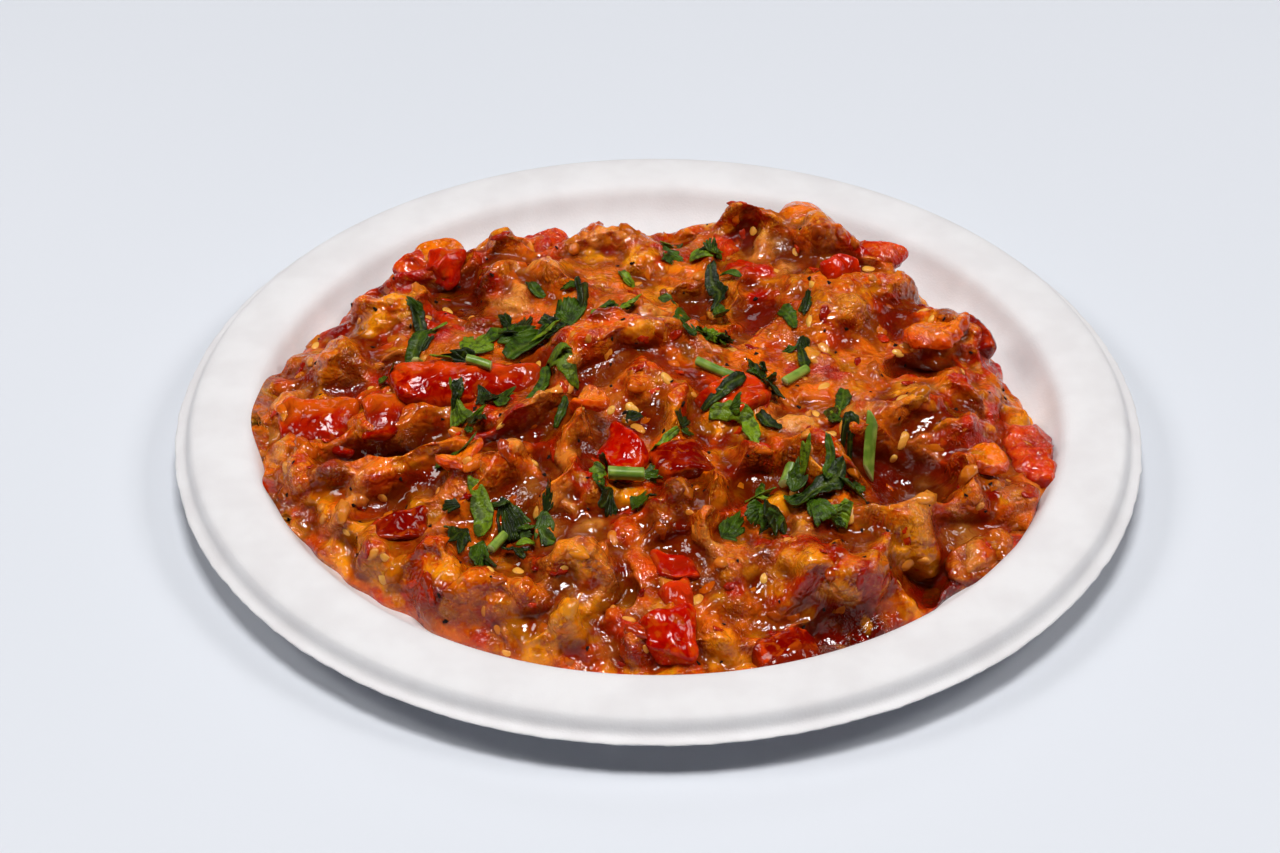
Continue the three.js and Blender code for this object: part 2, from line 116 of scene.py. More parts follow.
# How high chunks, lumps and lobes may rise, what smoothing and overhang follow, and how far
# the flesh is drawn up to a firm piece.
CHUNK_RISE = 2.3
LUMP_RISE = 0.6
LOBE_RISE = 5.5
SMOOTHING = 0.75
OVERHANG = 0.6
PEPPER_BEDDING = 0.85

# Radius of the heap's foot, every 15 degrees round from +X towards the back.
MASH_OUTLINE = [
    69, 67.5, 65, 66, 66, 62, 59, 59, 62, 66, 69, 72,
    75, 74, 72, 69, 69.5, 71, 72.3, 72, 70.5, 71, 73.5, 73,
]

# Folds and lumps of soft flesh: x, y, length, width, height, turn, and what they are of.
FOLDS = [
    (-70, -4, 13, 9, 3, 110, "orange"),
    (-60, 11, 16, 13, 4.6, 115, "orange"),
    (-54, 26, 15, 12, 4.4, 60, "orange"),
    (-66, -18, 22, 10, 4, 110, "orange"),
    (-52, -24, 26, 10, 3.6, 170, "orange"),
    (-38, -23, 17, 10, 3.2, 10, "brown"),
    (-58, -35, 16, 10, 3, 110, "orange"),
    (-47, 27, 15, 9, 3, 70, "amber"),
    (-42, 41, 18, 14, 3.7, 20, "red"),
    (-29, 46, 15, 13, 4.5, 0, "orange"),
    (-10, 46, 21, 11, 2.8, 0, "brown"),
    (-18, 31, 16, 8, 3.6, 100, "orange"),
    (-31, 33, 14, 11, 3, 30, "brown"),
    (19, 50, 23, 14, 6.4, 5, "brown"),
    (30, 45, 15, 13, 6.4, 0, "orange"),
    (33, 24, 25, 20, 4, 75, "brown"),
    (41, 43, 15, 11, 3.6, -30, "red"),
    (45, 32, 15, 11, 3, 60, "orange"),
    (52, 19, 15, 11, 4, 40, "orange"),
    (-9, 5, 36, 14, 5.5, 20, "coral"),
    (-22, -13, 21, 9, 4.5, 25, "brown"),
    (-32, -30, 29, 9, 5, 36, "orange"),
    (-14, -21, 14, 7, 5.5, 60, "orange"),
    (-18, -33, 18, 7, 4, 62, "orange"),
    (-12, -35, 8, 8, 3.5, 0, "coral"),
    (-3, -8, 15, 13, 3.5, 80, "brown"),
    (3, -13, 21, 6, 3.5, -88, "amber"),
    (9, -34, 11, 6, 4.5, 85, "orange"),
    (9, -44, 12, 8, 4.5, 80, "orange"),
    (2, -40, 11, 9, 3.5, 95, "brown"),
    (17, -27, 8, 7, 3.5, 0, "coral"),
    (-40, -49, 17, 12, 4.5, 115, "red"),
    (-48, -43, 16, 6, 3.5, 115, "amber"),
    (-29, -57, 23, 9, 4, 5, "orange"),
    (-15, -53, 15, 14, 5, 80, "flesh"),
    (-17, -65, 14, 7, 4, 35, "amber"),
    (14, -52, 13, 11, 2.5, 70, "brown"),
    (32, -53, 28, 13, 5.5, 0, "red"),
    (40, -45, 10, 8, 4, 20, "amber"),
    (30, -25, 20, 8, 4.5, -22, "orange"),
    (26, -31, 21, 7, 4.5, -28, "orange"),
    (43, -37, 19, 8, 4.5, 2, "brown"),
    (55, -27, 23, 8, 6, 66, "orange"),
    (55, -14, 16, 9, 4, 20, "red"),
    (45, -9, 19, 10, 4, 18, "brown"),
    (63, -27, 13, 9, 3, 70, "brown"),
    (56, 1, 15, 11, 3, 80, "orange"),
    (38, -17, 10, 9, 3.5, 0, "brown"),
    (33, -40, 17, 11, 3, 20, "brown"),
]

# Hollows between the folds: x, y, length, width, depth, turn.
HOLLOWS = [
    (-47, -16, 22, 11, 7, -5),
    (-25, -20, 14, 6, 3, 30),
    (-36, -33, 16, 6, 3.5, 35),
    (-37, 30, 20, 9, 5.5, 95),
    (-57, 3, 6, 5, 3, 40),
    (-47, 6, 12, 6, 2.5, 0),
    (9, 26, 20, 11, 4.5, 70),
    (0, 30, 16, 9, 2, 90),
    (17, 21, 24, 8, 3.5, 70),
    (50, 6, 13, 9, 5.5, 20),
    (43, -26, 22, 14, 5.5, -8),
    (49, -47, 14, 8, 6, 55),
    (34, -63, 18, 7, 6.5, 12),
    (-8, -58, 10, 4, 4.5, 80),
    (-11, -29, 8, 5, 3, 60),
    (-17, -8, 9, 6, 3, 40),
    (3, -33, 10, 7, 3, 0),
    (15, -33, 10, 7, 3, 60),
    (24, -12, 20, 10, 1.5, 20),
    (-24, -41, 12, 6, 2.5, 60),
    (-50, -33, 12, 6, 2.5, 0),
    (2, 52, 11, 8, 2, 90),
    (17, 46, 8, 5, 3, 80),
]

# Patches of colour in the flesh: x, y, length, width, turn, kind, strength; the dark ones, laid mostly on
# hollows, are painted shade.
PATCHES = [
    (-1, -2, 10, 7, 20, "coral", 0.9),
    (-5, -17, 9, 7, 0, "dark", 0.9),
    (-16, -11, 7, 5, 0, "dark", 0.7),
    (-47, -17, 22, 9, -5, "dark", 0.6),
    (-49, 4, 9, 5, -10, "red", 0.9),
    (-57, 7, 5, 7, 0, "dark", 0.7),
    (-36, 30, 9, 16, 0, "dark", 0.7),
    (56, -15, 10, 8, 30, "red", 0.8),
    (52, -33, 8, 5, 30, "coral", 0.8),
    (57, -25, 6, 14, -25, "orange", 0.9),
    (49, -47, 10, 10, 50, "dark", 0.9),
    (34, -63, 20, 8, 12, "dark", 1.0),
    (17, 46, 6, 8, 0, "dark", 0.7),
    (47, -1, 6, 5, 0, "flesh", 0.9),
    (44, -43, 8, 6, 0, "amber", 0.9),
    (-17, -65, 16, 6, 30, "amber", 0.8),
    (6, -62, 10, 5, 0, "orange", 0.6),
    (-16, -20, 8, 6, 60, "orange", 0.9),
    (-13, -33, 6, 6, 0, "red", 0.6),
    (12, 26, 10, 16, 0, "brown", 0.7),
    (-20, 12, 30, 5, 20, "orange", 0.5),
    (29, 20, 24, 15, 60, "brown", 0.5),
    (8, 9, 18, 9, 0, "brown", 0.45),
    (38, 6, 16, 9, 20, "brown", 0.45),
]


# How the flesh is tinted: chunks by pigment, portion of them and strength; broad areas by
# pigment, size, seed, the noise that starts and fills them, and strength; small lumps again
# by pigment, portion and strength.
CHUNK_COLOURS = [
    ("orange", 0.2, 0.65), ("brown", 0.17, 0.7), ("coral", 0.1, 0.7), ("red", 0.15, 0.96),
    ("amber", 0.13, 0.85), ("flesh", 0.15, 0.85), ("dark", 0.08, 0.8),
]
BROAD_COLOURS = [
    ("brown", 11.0, 51.0, 0.0, 0.5, 0.55),
    ("orange", 9.0, 52.0, 0.1, 0.5, 0.5),
    ("red", 8.0, 53.0, 0.2, 0.42, 0.8),
]
LUMP_COLOURS = [("amber", 0.16, 0.5), ("red", 0.14, 0.5), ("coral", 0.12, 0.45)]

# Mixes of a grain's coordinates from which it draws its two lots.
LOT_MIXES = [(12.99, 78.23, 37.72), (39.35, 11.14, 83.16)]
LOT_SPREAD = 43758.5

# Where pips gather: x, y, reach, share of the most that can lie there.
PIP_CLUSTERS = [
    (-3, -10, 5, 1.0), (-49, -48, 5, 0.9), (-45, -53, 4, 0.8), (29, -22, 6, 0.8), (-6, -48, 5, 0.8),
    (43, -13, 6, 0.6), (44, -43, 5, 0.6), (17, -63, 5, 0.6), (-14, 5, 8, 0.5), (66, -7, 4, 1.0),
    (46, 21, 5, 0.8), (-46, 22, 6, 0.7), (-27, -56, 6, 0.5), (8, -56, 6, 0.6), (56, 3, 6, 0.6),
    (-52, 24, 8, 0.5), (37, -17, 3, 0.8), (20, 52, 8, 0.4), (-42, -24, 8, 0.3), (-5, -60, 5, 0.5),
]


def pigment(red, green, blue):
    """Display values of 0 to 255 as the linear colour that a shader wants."""
    steps = [value / 255 for value in (red, green, blue)]
    return tuple(s / 12.92 if s < 0.04045 else ((s + 0.055) / 1.055) ** 2.4 for s in steps)


PIGMENTS = {
    "brown": pigment(182, 88, 20),
    "orange": pigment(234, 106, 5),
    "coral": pigment(218, 60, 5),
    "red": pigment(178, 5, 0),
    "dark": pigment(78, 3, 0),
    # Dark red of pooled sauce; it is also laid on the steep flanks as painted shade.
    "sauce_and_shade": pigment(104, 9, 0),
    "amber": pigment(252, 160, 14),
    "flesh": pigment(226, 148, 58),
}


# ---- helpers -------------------------------------------------------------------------


def smooth_ramp(low, high, value):
    share = np.clip((value - low) / (high - low), 0, 1)
    return share * share * (3 - 2 * share)


def soft_max(a, b, softness):
    """The larger of two fields, with the join rounded over."""
    blend = np.clip(0.5 + 0.5 * (a - b) / softness, 0, 1)
    return b + (a - b) * blend + softness * blend * (1 - blend)


def wander(points, size, seed=0.0):
    """Smooth noise from -1 to 1 at each point."""
    return np.array([noise.noise(place) for place in (points / size + seed).tolist()])


def drift(points, size, seeds):
    """A smooth random vector at each point; each axis has its own seed."""
    return np.stack([wander(points, size, seed) for seed in seeds], axis=-1)


def blur(field, reach):
    """A field on the grid, averaged over about reach cells each way, three times over."""
    kernel = np.ones(2 * reach + 1) / (2 * reach + 1)
    for _ in range(3):
        for axis in (0, 1):
            padded = np.pad(field, [(reach, reach) if a == axis else (0, 0) for a in (0, 1)], "edge")
            field = np.apply_along_axis(np.convolve, axis, padded, kernel, "valid")
    return field


def make_mesh(name, vertices, faces, finish, attributes=None, smooth=True):
    """An object at the origin from vertices in millimetres."""
    mesh = bpy.data.meshes.new(name)
    mesh.from_pydata((np.asarray(vertices, dtype=float) * MM).tolist(), [], faces)
    if smooth:
        mesh.polygons.foreach_set("use_smooth", [True] * len(mesh.polygons))
    for label, values in (attributes or {}).items():
        values = np.asarray(values, dtype=np.float32)
        if values.ndim == 2:
            layer = mesh.attributes.new(label, "FLOAT_COLOR", "POINT")
            opaque = np.ones((len(values), 4), dtype=np.float32)
            opaque[:, :3] = values
            layer.data.foreach_set("color", opaque.ravel())
        else:
            layer = mesh.attributes.new(label, "FLOAT", "POINT")
            layer.data.foreach_set("value", values)
    mesh.materials.append(finish)
    mesh.update()
    piece = bpy.data.objects.new(name, mesh)
    bpy.context.scene.collection.objects.link(piece)
    return piece


def declare(piece, slot, *nodes):
    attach(piece, BODY)
    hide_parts(*nodes)


class Shape:
    """Vertices, faces and attributes gathered from many small closed forms."""

    def __init__(self):
        self.vertices = []
        self.faces = []
        self.values = {}

    def add(self, vertices, faces, **values):
        start = sum(len(block) for block in self.vertices)
        vertices = np.asarray(vertices, dtype=float)
        self.vertices.append(vertices)
        self.faces.extend(tuple(start + i for i in face) for face in faces)
        for label, value in values.items():
            value = np.asarray(value, dtype=float)
            if value.ndim == 0 or (value.ndim == 1 and len(value) == 3 and len(vertices) != 3):
                value = np.broadcast_to(value, (len(vertices), *value.shape))
            self.values.setdefault(label, []).append(value)

    def piece(self, name, finish):
        joined = {label: np.concatenate(blocks) for label, blocks in self.values.items()}
        return make_mesh(name, np.concatenate(self.vertices), self.faces, finish, joined)


# ---- node graphs ---------------------------------------------------------------------


class Signal:
    """A node socket that takes part in Python arithmetic."""

    def __init__(self, graph, socket):
        self.graph = graph
        self.socket = socket

    def also(self, output):
        """Another output of the same node."""
        return Signal(self.graph, self.graph.find(self.socket.node.outputs, output))

    def _math(self, operation, first, second):
        return self.graph.add("ShaderNodeMath", {0: first, 1: second}, operation=operation)

    def __add__(self, other):
        return self._math("ADD", self, other)

    def __radd__(self, other):
        return self._math("ADD", other, self)

    def __sub__(self, other):
        return self._math("SUBTRACT", self, other)

    def __rsub__(self, other):
        return self._math("SUBTRACT", other, self)

    def __mul__(self, other):
        return self._math("MULTIPLY", self, other)

    def __rmul__(self, other):
        return self._math("MULTIPLY", other, self)


class Graph:
    """A node tree whose nodes are all made by one method."""

    def __init__(self, tree):
        self.tree = tree

    def add(self, kind, inputs=None, output=0, stops=(), **settings):
        """A new node, its settings and ramp stops first, as the signal of one of its outputs."""
        node = self.tree.nodes.new(kind)
        for label, value in settings.items():
            setattr(node, label, value)
        for number, (place, shade) in enumerate(stops):
            elements = node.color_ramp.elements
            element = elements[number] if number < len(elements) else elements.new(place)
            element.position = place
            element.color = (*pigment(*shade), 1)
        for label, value in (inputs or {}).items():
            socket = self.find(node.inputs, label)
            if isinstance(value, Signal):
                self.tree.links.new(value.socket, socket)
            else:
                socket.default_value = value
        return Signal(self, self.find(node.outputs, output))

    @staticmethod
    def find(sockets, label):
        """A socket by its number, its identifier or else its name."""
        if isinstance(label, int):
            return sockets[label]
        for socket in sockets:
            if socket.identifier == label:
                return socket
        return sockets[label]

    def attribute(self, label, output="Fac"):
        return self.add("ShaderNodeAttribute", output=output, attribute_name=label)

    def blend(self, first, second, share):
        """From one colour to another; a colour is a signal or display values of 0 to 255."""
        first, second = (v if isinstance(v, Signal) else (*pigment(*v), 1) for v in (first, second))
        inputs = {"Factor_Float": share, "A_Color": first, "B_Color": second}
        return self.add("ShaderNodeMix", inputs, "Result_Color", data_type="RGBA")

    def grain(self, size, detail=2.0, roughness=0.5, distortion=0.0):
        """Smooth noise whose lumps measure about size millimetres."""
        inputs = {
            "Vector": self.place,
            "Scale": 1 / (size * MM),
            "Detail": detail,
            "Roughness": roughness,
            "Distortion": distortion,
        }
        return self.add("ShaderNodeTexNoise", inputs, "Fac")

    def cells(self, size):
        """Distance from the middle of grains that measure about size millimetres."""
        inputs = {"Vector": self.place, "Scale": 1 / (size * MM)}
        return self.add("ShaderNodeTexVoronoi", inputs, "Distance", feature="SMOOTH_F1")

    def step(self, value, low, high):
        inputs = {"Value": value, "From Min": low, "From Max": high}
        return self.add("ShaderNodeMapRange", inputs, interpolation_type="SMOOTHSTEP")

    def bump(self, height, depth, strength=1.0):
        """A normal from a height of 0 to 1 that stands for depth millimetres."""
        inputs = {"Height": height, "Distance": depth * MM, "Strength": strength}
        return self.add("ShaderNodeBump", inputs, "Normal")

    def vector(self, operation, first, second):
        return self.add("ShaderNodeVectorMath", {0: first, 1: second}, operation=operation)


def new_finish(name):
    """An empty material, and its graph with the place on the piece at hand."""
    finish = bpy.data.materials.new(name)
    finish.use_nodes = True
    finish.node_tree.nodes.clear()
    graph = Graph(finish.node_tree)
    graph.place = graph.add("ShaderNodeTexCoord", output="Object")
    return finish, graph


def close_finish(graph, tone, roughness, normal=None, specular=0.5, scatter=None):
    """Ends a finish in one shader; scatter is a share, its reach by colour and a size."""
    inputs = {"Base Color": tone, "Roughness": roughness, "Specular IOR Level": specular}
    if normal:
        inputs["Normal"] = normal
    if scatter:
        share, reach, size = scatter
        inputs["Subsurface Weight"] = share
        inputs["Subsurface Radius"] = reach
        inputs["Subsurface Scale"] = size * MM
    shader = graph.add("ShaderNodeBsdfPrincipled", inputs)
    end = graph.tree.nodes.new("ShaderNodeOutputMaterial")
    graph.tree.links.new(shader.socket, end.inputs["Surface"])


# ---- finishes ------------------------------------------------------------------------


def pulp_finish():
    """Moulded plant fibre: off-white, matt, faintly felted, with a stray dark speck."""
    finish, g = new_finish("moulded_pulp")
    felt = g.grain(0.5, detail=4, roughness=0.65)
    cloud = g.grain(9, detail=2)
    fleck = 1 - g.step(g.cells(14), 0.01, 0.022)
    tone = g.blend((227, 225, 227), (234, 233, 235), g.step(cloud, 0.3, 0.7))
    tone = g.blend(tone, (214, 210, 211), g.step(felt, 0.6, 0.8) * 0.22)
    tone = g.blend(tone, (150, 130, 110), fleck * 0.6)
    close_finish(g, tone, 0.7, g.bump(felt, 0.09, 0.6), 0.35, (0.08, (1.0, 0.95, 0.9), 0.6))
    return finish


def mash_finish():
    """Wet stirred flesh: the colour comes with the mesh, its grain and wrinkles from here, with painted
    shade in the hollows and painted light and highlight specks on the crests.
    """
    finish, g = new_finish("stirred_flesh")
    base = g.attribute("flesh_colour", "Color")
    wet, deep, high = (g.attribute(label) for label in ("wet", "deep", "high"))
    green = g.add("ShaderNodeSeparateColor", {"Color": base}, "Green")
    pale = 0.12 + g.step(green, 0.004, 0.07) * 0.88
    grit = g.grain(0.8, detail=2, roughness=0.6, distortion=0.4)
    mottle = g.grain(2.6, detail=3, roughness=0.6, distortion=1.2)
    dots = g.cells(0.8)
    # Painted light: mottled patches of lighter orange, much stronger on the crests through high.
    tone = g.blend(base, (244, 122, 4), g.step(mottle, 0.42, 0.66) * (0.08 + high * 0.5) * pale)
    tone = g.blend(tone, (160, 8, 0), g.step(1 - mottle, 0.52, 0.68) * 0.55)
    # Bright specks and dots: partly pale grains of pulp and partly painted highlights, stronger on the
    # crests.
    tone = g.blend(tone, (255, 184, 60), g.step(grit, 0.56, 0.72) * (0.16 + high * 0.36) * pale)
    tone = g.blend(tone, (255, 164, 44), (1 - g.step(dots, 0.1, 0.34)) * (0.1 + high * 0.34) * pale)
    # Painted shade: hollows and creases darkened towards deep red by how deep they lie.
    tone = g.blend(tone, (88, 12, 1), deep * 0.78)
    wave = g.grain(1.9, detail=0, distortion=1.0)
    crinkle = g.grain(1.0, detail=0, distortion=1.6)
    wrinkled = g.step(g.grain(7, detail=1), 0.46, 0.6)
    waves = (wave * 0.5 + crinkle * (0.05 + wrinkled * 0.3)) * (1 - deep * 0.75)
    normal = g.bump(waves - dots * (0.02 + high * 0.05), 1.0)
    roughness = 0.05 + g.step(mottle, 0.42, 0.7) * 0.04 - wet * 0.02
    close_finish(g, tone, roughness, normal, 0.55, (0.35, (1.0, 0.25, 0.04), 1.5))
    return finish


def pepper_finish():
    """Roasted red pepper: taut skin on the outside, softer and paler flesh where cut."""
    finish, g = new_finish("roasted_pepper")
    base = g.attribute("pepper_colour", "Color")
    skin, edge, coat = (g.attribute(label) for label in ("skin", "edge", "coat"))
    cloud = g.grain(2.6, detail=3, distortion=0.8)
    grit = g.grain(0.7, detail=3, roughness=0.6)
    smear = g.grain(3.4, detail=3, roughness=0.6, distortion=1.0)
    wave = g.grain(1.7, detail=0.5, distortion=1.0)
    tone = g.blend(base, (236, 70, 5), g.step(cloud, 0.44, 0.66) * (0.15 + edge * 0.6))
    tone = g.blend(tone, (120, 2, 0), g.step(1 - cloud, 0.5, 0.72) * 0.5)
    tone = g.blend(tone, (240, 120, 30), g.step(grit, 0.6, 0.8) * (1 - skin) * 0.25)
    tone = g.blend(tone, (206, 88, 10), g.step(smear, 0.54, 0.64) * 0.5)
    tone = g.blend(tone, (120, 26, 3), coat * 0.7)
    roughness = 0.09 + g.step(cloud, 0.45, 0.7) * 0.05
    normal = g.bump(wave * 0.9 + grit * 0.1, 0.28)
    close_finish(g, tone, roughness, normal, 0.3, (0.2, (1.0, 0.2, 0.05), 1.8))
    return finish


def pip_finish():
    """Flat pale pips, glazed with sauce."""
    finish, g = new_finish("pale_pip")
    stain = g.grain(1.4, detail=2)
    tone = g.blend((216, 118, 18), (250, 188, 80), g.attribute("tone"))
    tone = g.blend(tone, (196, 84, 14), g.step(stain, 0.52, 0.75) * 0.5)
    normal = g.bump(g.grain(0.6), 0.12, 0.6)
    close_finish(g, tone, 0.2 + stain * 0.1, normal, scatter=(0.25, (1.0, 0.6, 0.3), 0.8))
    return finish


def shred_finish():
    """Small torn bits of red skin, wet through."""
    finish, g = new_finish("red_shreds")
    cloud = g.grain(1.2, detail=2)
    tone = g.blend((140, 8, 2), (214, 54, 6), g.attribute("tone"))
    tone = g.blend(tone, (86, 4, 1), g.step(cloud, 0.5, 0.75) * 0.5)
    normal = g.bump(cloud, 0.25)
    close_finish(g, tone, 0.08 + cloud * 0.06, normal, scatter=(0.25, (1.0, 0.2, 0.06), 1.2))
    return finish


def bit_finish():
    """Bits of soft flesh under a film of sauce."""
    finish, g = new_finish("flesh_bits")
    cloud = g.grain(1.6, detail=2, distortion=0.8)
    shades = (150, 40, 3), (176, 80, 8), (222, 102, 4), (232, 132, 20), (236, 156, 50)
    stops = list(zip((0.0, 0.35, 0.65, 0.85, 1.0), shades))
    tone = g.add("ShaderNodeValToRGB", {"Fac": g.attribute("tone")}, "Color", stops)
    tone = g.blend(tone, g.attribute("flesh_colour", "Color"), 0.5)
    tone = g.blend(tone, (120, 20, 2), g.step(cloud, 0.5, 0.75) * 0.35)
    normal = g.bump(g.grain(1.1, detail=0), 0.25)
    close_finish(g, tone, 0.06 + cloud * 0.04, normal, scatter=(0.4, (1.0, 0.35, 0.08), 1.2))
    return finish


def peppercorn_finish():
    """Cracked black pepper."""
    finish, g = new_finish("cracked_pepper")
    crumb = g.grain(0.3, detail=3)
    tone = g.blend((22, 12, 8), (70, 44, 30), g.step(crumb, 0.5, 0.75))
    close_finish(g, tone, 0.7, g.bump(crumb, 0.1, 0.7), 0.15)
    return finish


def leaf_finish():
    """Parsley leaf: veined, and bruised dark and less glossy in patches."""
    finish, g = new_finish("parsley_leaf")
    vein = g.attribute("vein")
    cloud = g.grain(1.6, detail=3, distortion=0.8)
    fine = g.grain(0.6, detail=2, roughness=0.5)
    tone = g.blend(g.attribute("leaf_colour", "Color"), (12, 20, 2), g.step(cloud, 0.44, 0.64) * 0.7)
    tone = g.blend(tone, (104, 126, 20), g.step(1 - cloud, 0.56, 0.74) * 0.35)
    tone = g.blend(tone, (122, 142, 38), vein * 0.3)
    roughness = 0.32 + g.step(cloud, 0.4, 0.7) * 0.16
    normal = g.bump(fine * 0.6 + cloud * 0.5 - vein * 0.3, 0.45)
    close_finish(g, tone, roughness, normal, 0.28, (0.1, (0.4, 1.0, 0.2), 0.4))
    return finish


def stalk_finish():
    """Juicy pale green stalk with fine ribs along it."""
    finish, g = new_finish("parsley_stalk")
    rib = g.attribute("rib")
    cloud = g.grain(2.2, detail=2)
    tone = g.blend((104, 140, 38), (158, 182, 74), g.step(cloud, 0.35, 0.7))
    tone = g.blend(tone, (72, 106, 26), rib * 0.4)
    tone = g.blend(tone, (206, 214, 140), g.attribute("cut") * 0.7)
    normal = g.bump(rib * 0.7 + g.grain(0.4) * 0.3, 0.12, 0.6)
    close_finish(g, tone, 0.32 + cloud * 0.1, normal, scatter=(0.3, (0.6, 1.0, 0.3), 0.8))
    return finish


def floor_finish():
    """Plain pale paper."""
    finish, g = new_finish("pale_floor")
    tone = g.blend((221, 226, 234), (226, 230, 238), g.grain(160, detail=1))
    close_finish(g, tone, 0.8, specular=0.2)
    return finish


# ---- plate ---------------------------------------------------------------------------


def rounded_profile(points, rounds):
    """Cuts the corners of an open outline; its two ends stay."""
    points = np.array(points, dtype=float)
    for _ in range(rounds):
        near = points[:-1] * 0.75 + points[1:] * 0.25
        far = points[:-1] * 0.25 + points[1:] * 0.75
        middle = np.stack([near, far], axis=1).reshape(-1, 2)
        points = np.concatenate([points[:1], middle[1:-1], points[-1:]])
    return points


def tube_faces(rows, sides):
    """Quads round a tube whose points stand in rows."""
    index = np.arange(rows * sides).reshape(rows, sides)
    after = np.roll(index, -1, axis=1)
    return np.stack([index[:-1], index[1:], after[1:], after[:-1]], axis=-1).reshape(-1, 4).tolist()


def make_plate():
    """A closed lathe of the plate's section, with a torn edge and a wall that isn't quite true."""
    profile = rounded_profile(PLATE_FACE + PLATE_UNDERSIDE, 2)[1:-1]
    turn = np.tile(np.arange(PLATE_SEGMENTS) * 2 * math.pi / PLATE_SEGMENTS, (len(profile), 1))
    radius, height = (np.tile(column[:, None], (1, PLATE_SEGMENTS)) for column in profile.T)
    ring = np.stack([np.cos(turn), np.sin(turn), height / 40], axis=-1).reshape(-1, 3)
    waves = ((0.021, 3.0), (0.009, 8.0), (0.9, 5.0))
    coarse_tear, fine_tear, warp = (wander(ring, size, seed).reshape(radius.shape) for size, seed in waves)
    radius = radius + FLANGE_TEAR * (coarse_tear + 0.6 * fine_tear) * smooth_ramp(*TEAR_ZONE, radius)
    height = height + RIM_WARP * warp * smooth_ramp(*WARP_ZONE, radius)
    points = np.stack([radius * np.cos(turn), radius * np.sin(turn), height], axis=-1).reshape(-1, 3)
    faces = tube_faces(len(profile), PLATE_SEGMENTS)
    top, bottom = len(points), len(points) + 1
    last = top - PLATE_SEGMENTS
    for column in range(PLATE_SEGMENTS):
        after = (column + 1) % PLATE_SEGMENTS
        faces.append((top, column, after))
        faces.append((bottom, last + after, last + column))
    vertices = np.vstack([points, [[0, 0, PULP_THICKNESS], [0, 0, 0]]])
    declare(make_mesh("moulded_plate", vertices, faces, pulp_finish()), "pulp", "pulp_plate")


# ---- heap ----------------------------------------------------------------------------


def plate_height(radius):
    face = np.array(PLATE_FACE)
    return np.interp(radius, face[:, 0], face[:, 1])


def outline_radius(angle):
    """Radius of the heap's foot, with the small bulges of the chunks at its edge."""
    radii = np.array(MASH_OUTLINE, dtype=float)
    place = np.mod(angle / (2 * math.pi), 1) * len(radii)
    index = np.floor(place).astype(int) % len(radii)
    share = smooth_ramp(0, 1, place - np.floor(place))
    wide_bulge = 0.7 * np.sin(17 * angle + 2 * np.sin(3 * angle))
    small_bulge = 0.4 * np.sin(38 * angle + 3 * np.sin(5 * angle))
    after = (index + 1) % len(radii)
    return radii[index] * (1 - share) + radii[after] * share + (wide_bulge + small_bulge)


def stirred(x, y):
    """The plan stirred a little, which softens straight edges."""
    return (
        x + 1.5 * np.sin(y / 4.1 + 0.7 * np.sin(x / 6.3)) + 0.7 * np.sin(y / 2.3 + x / 3.1),
        y + 1.4 * np.sin(x / 4.7 + 0.9 * np.sin(y / 5.2)) + 0.7 * np.sin(x / 2.6 - y / 3.4),
    )


def oval_distance(x, y, centre_x, centre_y, length, width, turn, power):
    angle = math.radians(turn)
    dx = x - centre_x
    dy = y - centre_y
    along = (dx * math.cos(angle) + dy * math.sin(angle)) / (length / 2)
    across = (dy * math.cos(angle) - dx * math.sin(angle)) / (width / 2)
    return (np.abs(along) ** power + np.abs(across) ** power) ** (1 / power)


def fold_height(x, y):
    """Height of the folds where they run into each other, and the colour they bring."""
    merged = np.zeros_like(x)
    share = np.full(x.shape, 0.06)
    common = np.array(PIGMENTS["brown"]) * 0.6 + np.array(PIGMENTS["orange"]) * 0.4
    colour = 0.06 * np.ones((*x.shape, 1)) * common
    for cx, cy, length, width, rise, turn, kind in FOLDS:
        distance = oval_distance(x, y, cx, cy, length, width, turn, 2.2)
        here = 1.25 * rise * (1 - smooth_ramp(0.3, 1.25, distance))
        merged += here ** FOLD_MERGE
        weight = 1 - smooth_ramp(0.3, 1.2, distance)
        share += weight
        colour += weight[..., None] * np.array(PIGMENTS[kind])
    return merged ** (1 / FOLD_MERGE), colour / share[..., None]


def hollow_depth(x, y):
    depth = np.zeros_like(x)
    for cx, cy, length, width, fall, turn in HOLLOWS:
        distance = oval_distance(x, y, cx, cy, length, width, turn, 2)
        depth = np.maximum(depth, 1.2 * fall * (1 - smooth_ramp(0.2, 1.3, distance)))
    return depth


def mash_height(x, y, warped_x, warped_y):
    """The heap before its small lumps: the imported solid's rule, read from a warped plan."""
    radius = np.hypot(x, y)
    share = radius / outline_radius(np.arctan2(y, x))
    dome = MASH_EDGE_HEIGHT + MASH_RISE * (1 - (radius / MASH_DOME_RADIUS) ** HEAP_CURVE)
    stirred_x, stirred_y = stirred(warped_x, warped_y)
    waves = 0.7 * np.sin(x / 9.3 + 1.1) * np.sin(y / 8.1 + 0.4) + 0.5 * np.sin((x + y) / 5.7)
    folds, colour = fold_height(stirred_x, stirred_y)
    top = dome + FOLD_GAIN * folds - FOLD_GAIN * hollow_depth(stirred_x, stirred_y) + waves
    past_shoulder = np.clip((share - MASH_SHOULDER) / (1 - MASH_SHOULDER), 0, 1)
    edge = np.sqrt(1 - past_shoulder ** HEAP_CURVE)
    foot = plate_height(radius)
    return foot + (top - foot) * edge, share, colour


